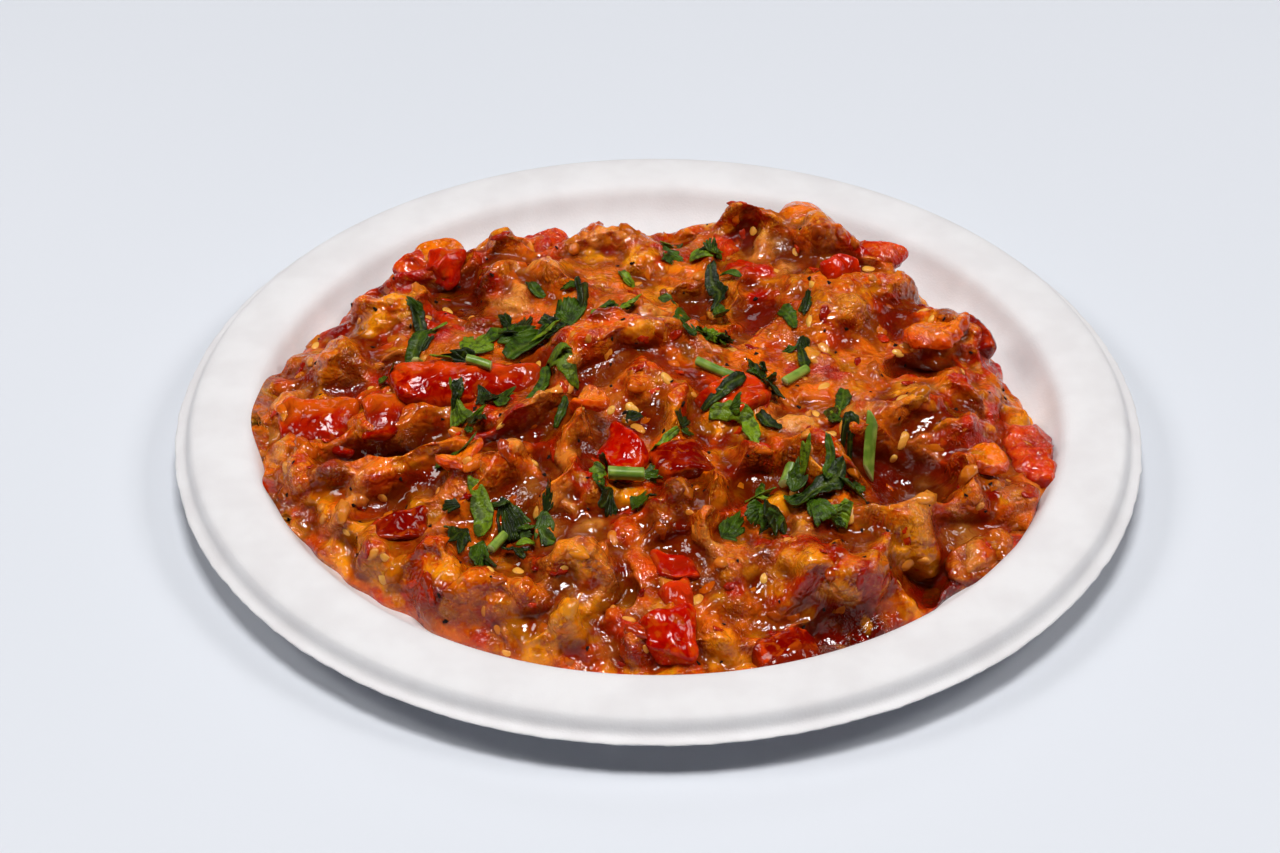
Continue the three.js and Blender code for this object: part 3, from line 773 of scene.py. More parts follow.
def disc_grid(cells):
    """A square grid laid out as a disc of radius 1, with cells of nearly equal size."""
    line = np.linspace(-1, 1, cells + 1)
    u, v = np.meshgrid(line, line)
    wide = np.abs(u) > np.abs(v)
    with np.errstate(divide="ignore", invalid="ignore"):
        wide_angle = np.where(wide, math.pi / 4 * v / np.where(u == 0, 1, u), 0)
        tall_angle = np.where(wide, 0, math.pi / 2 - math.pi / 4 * u / np.where(v == 0, 1, v))
    reach = np.where(wide, u, v)
    angle = np.where(wide, wide_angle, tall_angle)
    return reach * np.cos(angle), reach * np.sin(angle)


def grid_normals(points):
    across = np.gradient(points, axis=1)
    along = np.gradient(points, axis=0)
    normals = np.cross(across, along)
    return normals / np.maximum(np.linalg.norm(normals, axis=-1, keepdims=True), 1e-9)


def grain_field(points, size, seed):
    """Grains of flesh: how deep in its own grain each point lies, and two lots that its grain drew."""
    inside = np.empty(len(points))
    centres = np.empty((len(points), 3))
    for i, place in enumerate((points / size + seed).tolist()):
        distances, nearest = noise.voronoi(place)
        inside[i] = distances[1] - distances[0]
        centres[i] = nearest[0]
    lots = [np.mod(np.sin(centres @ np.array(mix)) * LOT_SPREAD, 1) for mix in LOT_MIXES]
    return inside, *lots


def tinted(colour, kind, share):
    """Colours drawn towards a pigment, by a share at each place."""
    share = share.reshape(colour.shape[:-1])[..., None]
    return colour * (1 - share) + np.array(PIGMENTS[kind]) * share


def tinted_grains(colour, lot, weight, table):
    """Grains take a pigment by the lot that each one drew."""
    low = 0.0
    for kind, portion, strength in table:
        chosen = (lot >= low) & (lot < low + portion)
        colour = tinted(colour, kind, chosen * strength * weight)
        low += portion
    return colour


def flesh_colours(x, y, folded, ground, wet, flank, grains):
    """Colour of the flesh at each place of the heap, with painted shade on its steep flanks."""
    bend = drift(ground, 4.0, (61.0, 62.0, 63.0))
    (inside, lot, _), (small_inside, small_lot, _) = grains
    colour = tinted_grains(folded, lot, smooth_ramp(0.02, 0.3, inside), CHUNK_COLOURS)
    for kind, size, seed, low, high, strength in BROAD_COLOURS:
        field = wander(ground + 2 * bend, size, seed) + 0.3 * wander(ground + bend, size / 2.3, seed + 20)
        colour = tinted(colour, kind, strength * smooth_ramp(low, high, field))
    for cx, cy, length, width, turn, kind, strength in PATCHES:
        distance = oval_distance(x, y, cx, cy, length, width, turn, 2) + 0.3 * bend[:, 0].reshape(x.shape)
        colour = tinted(colour, kind, strength * (1 - smooth_ramp(0.6, 1.3, distance)))
    colour = tinted_grains(colour, small_lot, smooth_ramp(0.05, 0.3, small_inside), LUMP_COLOURS)
    colour = colour * (0.86 + 0.4 * small_lot.reshape(x.shape))[..., None]
    gap = (1 - smooth_ramp(0.02, 0.16, inside)) * smooth_ramp(-0.2, 0.3, bend[:, 0])
    # Pooled sauce and the joints between chunks take the sauce colour; the steep flanks take it too, as
    # painted shade.
    return tinted(colour, "sauce_and_shade", np.clip(0.4 * wet + 0.4 * flank + 0.5 * gap.reshape(x.shape), 0, 0.85))


def pip_chance(x, y, fade):
    chance = np.full(x.shape, 0.2)
    for cx, cy, reach, strength in PIP_CLUSTERS:
        near = 1 - smooth_ramp(0.5, 1.1, np.hypot(x - cx, y - cy) / reach)
        chance = np.maximum(chance, strength * near)
    return chance * fade


def border_loop(cells):
    """Grid indices once round the edge of the grid, anticlockwise from above."""
    index = np.arange((cells + 1) ** 2).reshape(cells + 1, cells + 1)
    sides = index[0, :-1], index[:-1, -1], index[-1, :0:-1], index[:0:-1, 0]
    return np.concatenate(sides).tolist()


def flesh_relief(ground, grains):
    """Chunks of flesh pressed together, with soft small lumps on them."""
    (inside, lot, _), (small_inside, small_lot, _) = grains
    coarse = smooth_ramp(-0.3, 0.3, wander(ground, 15.0, 23.0))
    relief = (0.2 + CHUNK_RISE * lot) * smooth_ramp(0.0, 0.66, inside)
    small = (0.1 + LUMP_RISE * small_lot) * smooth_ramp(0.0, 0.6, small_inside)
    relief = relief + small * (0.45 + 0.55 * coarse)
    for size, rise, seed in ((6.0, 1.2, 31.0), (2.4, 0.3, 33.0)):
        lump = np.sqrt(wander(ground, size, seed) ** 2 + 0.006)
        relief = relief + rise * lump * (0.5 + 0.5 * coarse)
    return relief


def pepper_beds(x, y, z, ragged):
    """Draws the flesh up round each firm piece, so that it lies half buried."""
    for px, py, length, width, _, turn, _, proud, _ in PEPPERS:
        top = z[np.unravel_index(np.argmin((x - px) ** 2 + (y - py) ** 2), x.shape)]
        distance = oval_distance(x, y, px, py, length + 2, width + 2, turn, 3)
        share = 1 - smooth_ramp(0.8, 1.4, distance)
        z = z + (top + (0.25 + 0.5 * ragged) * proud - z) * share * PEPPER_BEDDING
    return z


def mash_plan():
    """Where the points of the grid stand in plan, crowded towards the heap's edge."""
    disc_x, disc_y = disc_grid(MASH_CELLS)
    crowding = 1.1 - 0.1 * np.hypot(disc_x, disc_y) ** 8
    disc_x, disc_y = disc_x * crowding, disc_y * crowding
    outline = outline_radius(np.arctan2(disc_y, disc_x))
    return disc_x * outline, disc_y * outline


def smooth_heap(x, y):
    """The heap with its folds and the beds of the firm pieces, its share of the way out, its tints."""
    flat = np.stack([x, y, 0 * x], axis=-1).reshape(-1, 3)
    warp_x = 1.8 * wander(flat, 7.0, 41.0) + 0.8 * wander(flat, 3.0, 42.0)
    warp_y = 1.8 * wander(flat, 7.0, 43.0) + 0.8 * wander(flat, 3.0, 44.0)
    z, share, folded = mash_height(x, y, x + warp_x.reshape(x.shape), y + warp_y.reshape(x.shape))
    ragged = wander(flat, 3.5, 77.0).reshape(x.shape)
    z = np.where(share < 0.93, pepper_beds(x, y, z, ragged), z)
    return np.stack([x, y, z], axis=-1), share, folded


def break_up(points, share, fade):
    """Breaks the smooth heap into pressed chunks and lobes; also the places that its noise is read at."""
    ground = points.reshape(-1, 3)
    bend = drift(ground, 5.0, (21.0, 22.0, 24.0))
    grains = grain_field(ground + 1.8 * bend, CHUNK_SIZE, 3.0), grain_field(ground + bend, LUMP_SIZE, 19.0)
    rise = flesh_relief(ground, grains).reshape(share.shape) - 1.5
    lobes = np.sqrt(wander(ground * np.array([1, 1, 0.4]), LOBE_SIZE, 91.0) ** 2 + 0.004)
    rise = rise + (LOBE_RISE * lobes.reshape(share.shape) - 1.0) * smooth_ramp(0.76, 0.9, share)
    points = points + grid_normals(points) * (rise * fade)[..., None]
    smoothed = np.stack([blur(points[..., axis], 1) for axis in range(3)], axis=-1)
    points = points + (smoothed - points) * (SMOOTHING * fade)[..., None]
    ground = points.reshape(-1, 3)
    fine = 0.3 * wander(ground, 2.2, 71.0) + 0.16 * wander(ground, 1.2, 72.0)
    points = points + grid_normals(points) * (fine.reshape(share.shape) * fade)[..., None]
    overhang = OVERHANG * (blur(points[..., 2], 2) - blur(points[..., 2], 12)) * fade
    points[..., 1] -= overhang
    return points, ground, grains


def pour_sauce(height, ground, fade):
    """Fills the hollows of the heap up to the sauce's level, and tells where it is wet."""
    level = blur(height, 5) - SAUCE_DROP + 0.5 * wander(ground, 11, 9.0).reshape(height.shape)
    wet = smooth_ramp(-0.5, 0.4, level - height) * fade
    height += (soft_max(height, level, 0.6) - height) * fade
    return wet


def depth_shares(height, share, fade):
    """How deep in a hollow or crease each point lies, and how high on a lump: the finish paints shade by
    the one and light by the other.
    """
    relief = blur(height, 10) - height
    wide_relief = blur(height, 22) - height
    crease = smooth_ramp(0.12, 0.8, blur(height, 4) - height)
    deep = np.maximum(smooth_ramp(0.4, 2.6, relief), 0.55 * smooth_ramp(1.4, 5.0, wide_relief) * fade)
    deep = np.maximum(deep, 0.85 * crease) * inner_share(share)
    return np.maximum(deep, 0.7 * crease * fade), smooth_ramp(0.1, 2.2, -relief)


def inner_share(share):
    """Full inside the heap, and little on its flank."""
    return 1 - 0.75 * smooth_ramp(0.82, 0.9, share)


def close_heap(points):
    """The grid of the heap's surface, closed over the plate by a ring and a middle point."""
    side = MASH_CELLS + 1
    index = np.arange(side * side).reshape(side, side)
    faces = np.stack([index[:-1, :-1], index[:-1, 1:], index[1:, 1:], index[1:, :-1]], axis=-1)
    faces = faces.reshape(-1, 4).tolist()
    top = points.reshape(-1, 3)
    border = border_loop(MASH_CELLS)
    angle = np.arctan2(top[border, 1], top[border, 0])
    floor = np.full(len(border), MASH_UNDERSIDE)
    ring = np.stack([MASH_FOOT_RADIUS * np.cos(angle), MASH_FOOT_RADIUS * np.sin(angle), floor], axis=-1)
    vertices = np.vstack([top, ring, [[0, 0, MASH_UNDERSIDE]]])
    first, middle = len(top), len(vertices) - 1
    for i, here in enumerate(border):
        after = (i + 1) % len(border)
        faces.append((border[after], here, first + i, first + after))
        faces.append((first + after, first + i, middle))
    return vertices, faces


def make_mash():
    """The heap as one closed mesh, with colour, wetness and depth carried by its points; depth and height
    on the lumps become painted shade and painted light.
    """
    x, y = mash_plan()
    points, share, folded = smooth_heap(x, y)
    fade = 1 - smooth_ramp(0.985, 1.0, share)
    points, ground, grains = break_up(points, share, fade)
    height = points[..., 2]
    wet = pour_sauce(height, ground, fade) * inner_share(share)
    deep, high = depth_shares(height, share, fade)
    # How steep each place is; steep flanks are later darkened as painted shade.
    flank = (1 - smooth_ramp(0.35, 0.8, grid_normals(points)[..., 2])) * fade
    colour = flesh_colours(x, y, folded, ground, wet, flank, grains)
    vertices, faces = close_heap(points)
    rest = len(vertices) - colour[..., 0].size
    attributes = {"flesh_colour": np.vstack([colour.reshape(-1, 3), np.tile(PIGMENTS["brown"], (rest, 1))])}
    for label, field, below in (
        ("wet", wet, 0), ("deep", deep, 1), ("high", high, 0),
        ("pips", pip_chance(x, y, fade), 0), ("open", fade * smooth_ramp(4.5, 9.5, height), 0),
    ):
        attributes[label] = np.concatenate([field.ravel(), np.full(rest, below)])
    piece = make_mesh("stirred_mash", vertices, faces, mash_finish(), attributes)
    declare(piece, "mash", "aubergine_mash")
    return piece


# ---- pepper pieces -------------------------------------------------------------------

# Firm pieces of roasted pepper: x, y, length, width, thickness, turn, forward tilt, how far
# the top stands over the flesh, kind.
PEPPERS = [
    (-35, -2.5, 27, 8.5, 6, 4, 22, 2.6, "strip"),
    (-62, -6, 15, 11, 7, 170, 24, 1.3, "block"),
    (-50, -8, 9, 8, 5, 10, 25, 1.5, "block"),
    (14, -10, 10, 9.5, 7, 40, 12, 3.2, "coral"),
    (-6, -26, 10, 8, 6, -50, 18, 2.6, "red"),
    (4, -27, 10, 8, 4.5, 10, 15, 1.2, "dark"),
    (1.5, -65, 11, 9.5, 8, 5, 22, 2.8, "red"),
    (3, -58, 7.5, 6.5, 5, 20, 20, 1.0, "coral"),
    (3, -51, 8, 6, 5, 0, 15, 0.2, "red"),
    (68.5, -11, 17, 8, 7.5, 96, 0, 2.2, "blush"),
    (-45, -39, 9, 6, 4, 5, 20, 0.9, "dark"),
    (35, 28, 8.5, 7.5, 5, 30, 15, 0.0, "torn"),
    (-22, 48, 10, 6, 5, 60, 0, 0.8, "blush"),
    (22, -66, 12, 8, 5, 15, 15, 1.8, "dark"),
    (42, 43, 8.5, 7, 5, -30, 0, -0.6, "blush"),
    (59, 21, 12, 4, 5, -70, 0, 1.6, "dark"),
    (57, -41, 13, 7, 2.6, 28, 28, 0.3, "brown"),
    (-46, 41, 8, 5, 5, 40, 10, 0.9, "blush"),
    (-41, 39, 7, 6, 5, -30, 14, 0.4, "torn"),
    (-42, 43, 8, 5, 4, 5, 0, 0.4, "orange"),
    (27, 52, 9, 7, 6, 50, 0, 0.0, "orange"),
    (12, 44, 9, 7, 5, 70, 10, 0.6, "blush"),
]

# Colours of the firm pieces: on the side that lies up, and on the others.
PEPPER_SHADES = {
    "strip": (pigment(222, 68, 9), pigment(160, 5, 0)),
    "block": (pigment(214, 88, 10), pigment(170, 6, 0)),
    "red": (pigment(186, 8, 0), pigment(196, 22, 1)),
    "torn": (pigment(206, 34, 2), pigment(190, 14, 0)),
    "coral": (pigment(212, 50, 8), pigment(190, 20, 1)),
    "dark": (pigment(126, 5, 0), pigment(108, 5, 0)),
    "orange": (pigment(244, 116, 4), pigment(214, 70, 3)),
    "blush": (pigment(212, 52, 10), pigment(184, 18, 1)),
    "brown": (pigment(184, 84, 12), pigment(150, 50, 6)),
}

SOFT_KINDS = ("orange", "brown", "blush")
CRUMBLE = {"torn": 2.4, "blush": 2.4, "brown": 2.0}

# Limp flaps of soft flesh that lap over a fold: x, y, length, width, thickness, turn, lean,
# and how far the middle lies over the flesh.
FLAPS = [
    (52, 15, 14, 11, 3.4, 30, -26, -0.4),
    (-13, -17, 6, 8, 2.2, 65, -30, -1.1),
    (-35, -29, 9, 6, 2, 30, -35, -1.1),
    (58, -22, 7, 10, 2.4, 60, -20, -1.9),
]


def box_grid(divisions):
    """The surface of a cube from -1 to 1 as a closed grid of quads with shared points."""
    places, points, faces = {}, [], []

    def corner(**steps):
        place = steps["x"], steps["y"], steps["z"]
        if place not in places:
            places[place] = len(points)
            points.append([2 * step / count - 1 for step, count in zip(place, divisions)])
        return places[place]

    count = dict(zip("xyz", divisions))
    for fixed, across, up, first, second in (
        ("z", "x", "y", count["z"], 0), ("y", "x", "z", 0, count["y"]), ("x", "y", "z", count["x"], 0),
    ):
        for i in range(count[across]):
            for j in range(count[up]):
                quad = (i, j), (i + 1, j), (i + 1, j + 1), (i, j + 1)
                faces.append([corner(**{fixed: first, across: a, up: b}) for a, b in quad])
                faces.append([corner(**{fixed: second, across: a, up: b}) for a, b in reversed(quad)])
    return np.array(points), faces


def rounded_box(length, width, thickness, squareness, fineness=0.5):
    """A box with rounded corners, its skin side up, and how near each point is to an edge."""
    divisions = [max(6, int(size / fineness)) for size in (length, width, thickness)]
    points, faces = box_grid(divisions)
    points = points / (np.sum(np.abs(points) ** squareness, axis=1) ** (1 / squareness))[:, None]
    edge = smooth_ramp(0.62, 0.85, np.sort(np.abs(points), axis=1)[:, 1])
    skin = smooth_ramp(0.5, 0.85, points[:, 2])
    return points, faces, skin, edge


def ruffle(points, seed, *layers):
    """Moves points by smooth noise; each layer is a size and a distance."""
    moved = points
    for size, reach in layers:
        moved = moved + reach * drift(points, size, [seed + 10 * axis + size for axis in range(3)])
    return moved


def pepper_chunk(length, width, thickness, seed, crumble):
    """A diced piece, softened by roasting: bowed, tapered and askew, its faces uneven."""
    rng = random.Random(seed)
    points, faces, skin, edge = rounded_box(length, width, thickness, rng.uniform(4.5, 7))
    half = np.array([length, width, thickness]) / 2
    taper = rng.uniform(-0.28, 0.28)
    skew = rng.uniform(-0.25, 0.25)
    narrowed = 1 + taper * points[:, :1]
    scaled = points * half * np.hstack([np.ones_like(narrowed), narrowed, 1 + 0.6 * taper * points[:, :1]])
    scaled[:, 0] += skew * scaled[:, 1]
    scaled[:, 2] -= rng.uniform(0.5, 1.5) * points[:, 0] ** 2 - 0.3
    scaled[:, 2] += rng.uniform(-0.9, 0.5) * points[:, 1] ** 2
    layers = (7.0, 1.5), (3.0, 0.5 * crumble), (1.4, 0.13 * crumble), (0.8, 0.05 * crumble)
    return ruffle(scaled, seed, *layers), faces, skin, edge


def soft_flap(length, width, thickness, seed):
    """A limp sheet of flesh, saddle-shaped, with a ragged edge."""
    points, faces, skin, edge = rounded_box(length, width, thickness, 3.4, 0.4)
    along, across = points[:, 0].copy(), points[:, 1].copy()
    scaled = points * np.array([length, width, thickness]) / 2
    scaled[:, 2] += 1.4 * along ** 2 - 1.1 * across ** 2
    scaled[:, 1] *= 1 - 0.3 * along ** 2
    scaled[:, 0] *= 1 - 0.25 * across ** 2
    return ruffle(scaled, seed, (6.0, 1.2), (2.4, 0.6), (1.1, 0.25)), faces, skin, edge


def lay_in(points, x, y, lift, turn, tilt):
    """Turns and tilts a piece, and sets it on the smooth heap."""
    spin = Matrix.Rotation(math.radians(turn), 3, "Z") @ Matrix.Rotation(math.radians(tilt), 3, "X")
    place = np.array([float(x)]), np.array([float(y)])
    return points @ np.array(spin).T + np.array([x, y, mash_height(*place, *place)[0][0] + lift])


def make_peppers(mash_top, flesh):
    """Firm pieces with skin, and soft ones and flaps in the same finish as the heap."""
    firm, soft = Shape(), Shape()
    laid = []
    for i, (x, y, length, width, thickness, turn, tilt, proud, kind) in enumerate(PEPPERS):
        facing = -tilt if abs(turn) > 90 else tilt
        chunk = pepper_chunk(length, width, thickness, 37 * i + 4, CRUMBLE.get(kind, 1.0))
        laid.append((chunk, x, y, proud - thickness / 2, turn, facing, kind))
    for i, (x, y, length, width, thickness, turn, lean, lift) in enumerate(FLAPS):
        laid.append((soft_flap(length, width, thickness, 900 + 13 * i), x, y, lift, turn, lean, "orange"))
    for (points, faces, skin, edge), x, y, lift, turn, tilt, kind in laid:
        placed = lay_in(points, x, y, lift, turn, tilt)
        level = np.array([top_of(mash_top, px, py) for px, py, _ in placed])
        coat = 1 - smooth_ramp(-0.2, 1.8, placed[:, 2] - level)
        facing_up = skin
        # Strip and blocks: only the back of the upper side takes the upper colour, so the lighter top and
        # deep red front face are partly the pepper's own colours and partly painted light and shade.
        if kind in ("strip", "block"):
            behind = placed[:, 1] - y + 1.6 * wander(placed, 2.5, 9.0)
            facing_up = skin * smooth_ramp(-1.6, 1.2, behind)
        upper, lower = np.array(PEPPER_SHADES[kind])
        colour = lower + (upper - lower) * facing_up[:, None]
        if kind in SOFT_KINDS:
            colour = colour * (1 + 0.4 * wander(placed, 3.0, 5.0))[:, None]
            # Soft pieces and flaps: painted light on the upper side through high, painted shade where they
            # sink into the flesh through deep; wet marks their coat of sauce.
            soft.add(placed, faces, flesh_colour=colour, wet=coat, deep=0.45 * coat, high=0.7 * skin)
        else:
            firm.add(placed, faces, pepper_colour=colour, skin=skin, edge=edge, coat=coat)
    pieces = firm.piece("pepper_pieces", pepper_finish()), soft.piece("flesh_flaps", flesh)
    for piece in pieces:
        declare(piece, "mash", "aubergine_mash")
    return pieces


# ---- pips, shreds and cracked pepper -------------------------------------------------


STREWN_INPUTS = {
    "Geometry": "Geometry", "Where": "String", "Apart": "Float", "Per Area": "Float", "Seed": "Int",
    "Fineness": "Int", "Size": "Vector", "Taper": "Float", "Crumple": "Float", "Sunk": "Float",
    "Finish": "Material",
}


def small_bit(g, take):
    """One small crumpled shape, tapered along X, of the size that the tree is given."""
    ball = g.add("GeometryNodeMeshIcoSphere", {"Radius": 0.5, "Subdivisions": take("Fineness")}, "Mesh")
    position = g.add("GeometryNodeInputPosition")
    along = g.add("ShaderNodeSeparateXYZ", {"Vector": position}, "X")
    narrowing = 1 - take("Taper") * (along + 0.5)
    across = g.add("ShaderNodeCombineXYZ", {"X": 1.0, "Y": narrowing, "Z": narrowing})
    torn = g.add("ShaderNodeTexNoise", {"Vector": position, "Scale": 2.2, "Detail": 2.0}, "Color")
    centred = g.vector("SUBTRACT", torn, (0.5, 0.5, 0.5))
    pushed = g.add("ShaderNodeVectorMath", {0: centred, "Scale": take("Crumple")}, operation="SCALE")
    uneven = g.vector("ADD", g.vector("MULTIPLY", position, across), pushed)
    sized = g.vector("MULTIPLY", uneven, take("Size"))
    bit = g.add("GeometryNodeSetPosition", {"Geometry": ball, "Position": sized}, "Geometry")
    return g.add("GeometryNodeSetShadeSmooth", {"Geometry": bit})


def strewing_tree():
    """Strews one small shape over a surface, each copy turned, sized and toned at random."""
    tree = bpy.data.node_groups.new("strewn_bits", "GeometryNodeTree")
    for label, kind in STREWN_INPUTS.items():
        tree.interface.new_socket(label, in_out="INPUT", socket_type=f"NodeSocket{kind}")
    tree.interface.new_socket("Geometry", in_out="OUTPUT", socket_type="NodeSocketGeometry")
    g = Graph(tree)
    given = tree.nodes.new("NodeGroupInput")

    def take(label):
        return Signal(g, given.outputs[label])

    def draw(low, high, shift):
        """A random number or vector for each copy."""
        kind, tail = ("FLOAT_VECTOR", "") if isinstance(low, tuple) else ("FLOAT", "_001")
        inputs = {"Min" + tail: low, "Max" + tail: high, "Seed": take("Seed") + shift}
        return g.add("FunctionNodeRandomValue", inputs, "Value" + tail, data_type=kind)

    where = g.add("GeometryNodeInputNamedAttribute", {"Name": take("Where")}, data_type="FLOAT")
    inputs = {
        "Mesh": take("Geometry"),
        "Distance Min": take("Apart"),
        "Density Max": take("Per Area"),
        "Density Factor": where,
        "Seed": take("Seed"),
    }
    spots = g.add("GeometryNodeDistributePointsOnFaces", inputs, "Points", distribute_method="POISSON")
    angles = draw((-0.4, -0.4, 0.0), (0.4, 0.4, 2 * math.pi), 1)
    spin = g.add("FunctionNodeEulerToRotation", {"Euler": angles})
    inputs = {"Rotation": spots.also("Rotation"), "Rotate By": spin}
    turn = g.add("FunctionNodeRotateRotation", inputs, rotation_space="LOCAL")
    bit = small_bit(g, take)
    inputs = {"Points": spots, "Instance": bit, "Rotation": turn, "Scale": draw(0.62, 1.2, 2)}
    strewn = g.add("GeometryNodeInstanceOnPoints", inputs)
    sink = g.add("ShaderNodeCombineXYZ", {"Z": 0 - take("Sunk")})
    lowered = g.add("GeometryNodeTranslateInstances", {"Instances": strewn, "Translation": sink})
    inputs = {"Geometry": lowered, "Name": "tone", "Value": draw(0.0, 1.0, 3)}
    toned = g.add("GeometryNodeStoreNamedAttribute", inputs, data_type="FLOAT", domain="INSTANCE")
    real = g.add("GeometryNodeRealizeInstances", {"Geometry": toned})
    coated = g.add("GeometryNodeSetMaterial", {"Geometry": real, "Material": take("Finish")})
    end = tree.nodes.new("NodeGroupOutput")
    tree.links.new(coated.socket, end.inputs["Geometry"])
    return tree


def strew(name, carrier, tree, given):
    """A piece of small bits strewn over another piece's surface."""
    piece = bpy.data.objects.new(name, carrier.data)
    bpy.context.scene.collection.objects.link(piece)
    modifier = piece.modifiers.new("strewn", "NODES")
    modifier.node_group = tree
    for item in tree.interface.items_tree:
        if item.in_out == "INPUT" and item.name in given:
            modifier[item.identifier] = given[item.name]
    seen = piece.evaluated_get(bpy.context.evaluated_depsgraph_get())
    mesh = bpy.data.meshes.new_from_object(seen)
    piece.modifiers.clear()
    piece.data = mesh
    mesh.name = name
    declare(piece, "mash", "aubergine_mash")


# Small things on the mash: name, finish, attribute that says where, distance apart, most of
# them on a square metre, seed, fineness, size, taper, crumple, how far each is sunk.
STREWN = [
    ("pale_pips", pip_finish, "pips", 1.9, 30000, 4, 3, (3.3, 2.4, 1.7), 0.35, 0.16, 0.45),
    ("flesh_bits", bit_finish, "open", 6.6, 50000, 33, 2, (5.6, 4.0, 3.0), 0.3, 0.7, 1.2),
    ("red_shreds", shred_finish, "open", 5.5, 5000, 9, 3, (3.6, 2.0, 1.2), 0.2, 0.9, 0.3),
    ("cracked_pepper", peppercorn_finish, "open", 3.2, 9000, 21, 2, (1.0, 0.75, 0.55), 0.2, 1.0, 0.02),
]


def strew_small_things(mash):
    tree = strewing_tree()
    for name, finish, where, apart, per_area, seed, fineness, size, taper, crumple, sunk in STREWN:
        given = {
            "Where": where,
            "Apart": apart * MM,
            "Per Area": float(per_area),
            "Seed": seed,
            "Fineness": fineness,
            "Size": [side * MM for side in size],
            "Taper": taper,
            "Crumple": crumple,
            "Sunk": sunk * MM,
            "Finish": finish(),
        }
        strew(name, mash, tree, given)


# ---- parsley -------------------------------------------------------------------------

LEAF_SHADES = {
    "dark": pigment(28, 44, 4),
    "mid": pigment(60, 88, 8),
    "light": pigment(112, 140, 20),
}
LEAF_THICKNESS = 0.28

# Wilting takes a little off each leaf's length and width.
WILTED_LENGTH = 0.94
WILTED_WIDTH = 0.92

# How high a leaf lies over what is below, and how much higher each next one of its bunch.
LEAF_LIFT = 0.1
OFFCUT_LIFT = 0.35
LAYER_STEP = 0.25

# Leaves wider than this have an offcut beside them.
OFFCUT_FROM_WIDTH = 3

DRAPE_SAMPLES = 60
DRAPE_CLEARANCE = 0.55

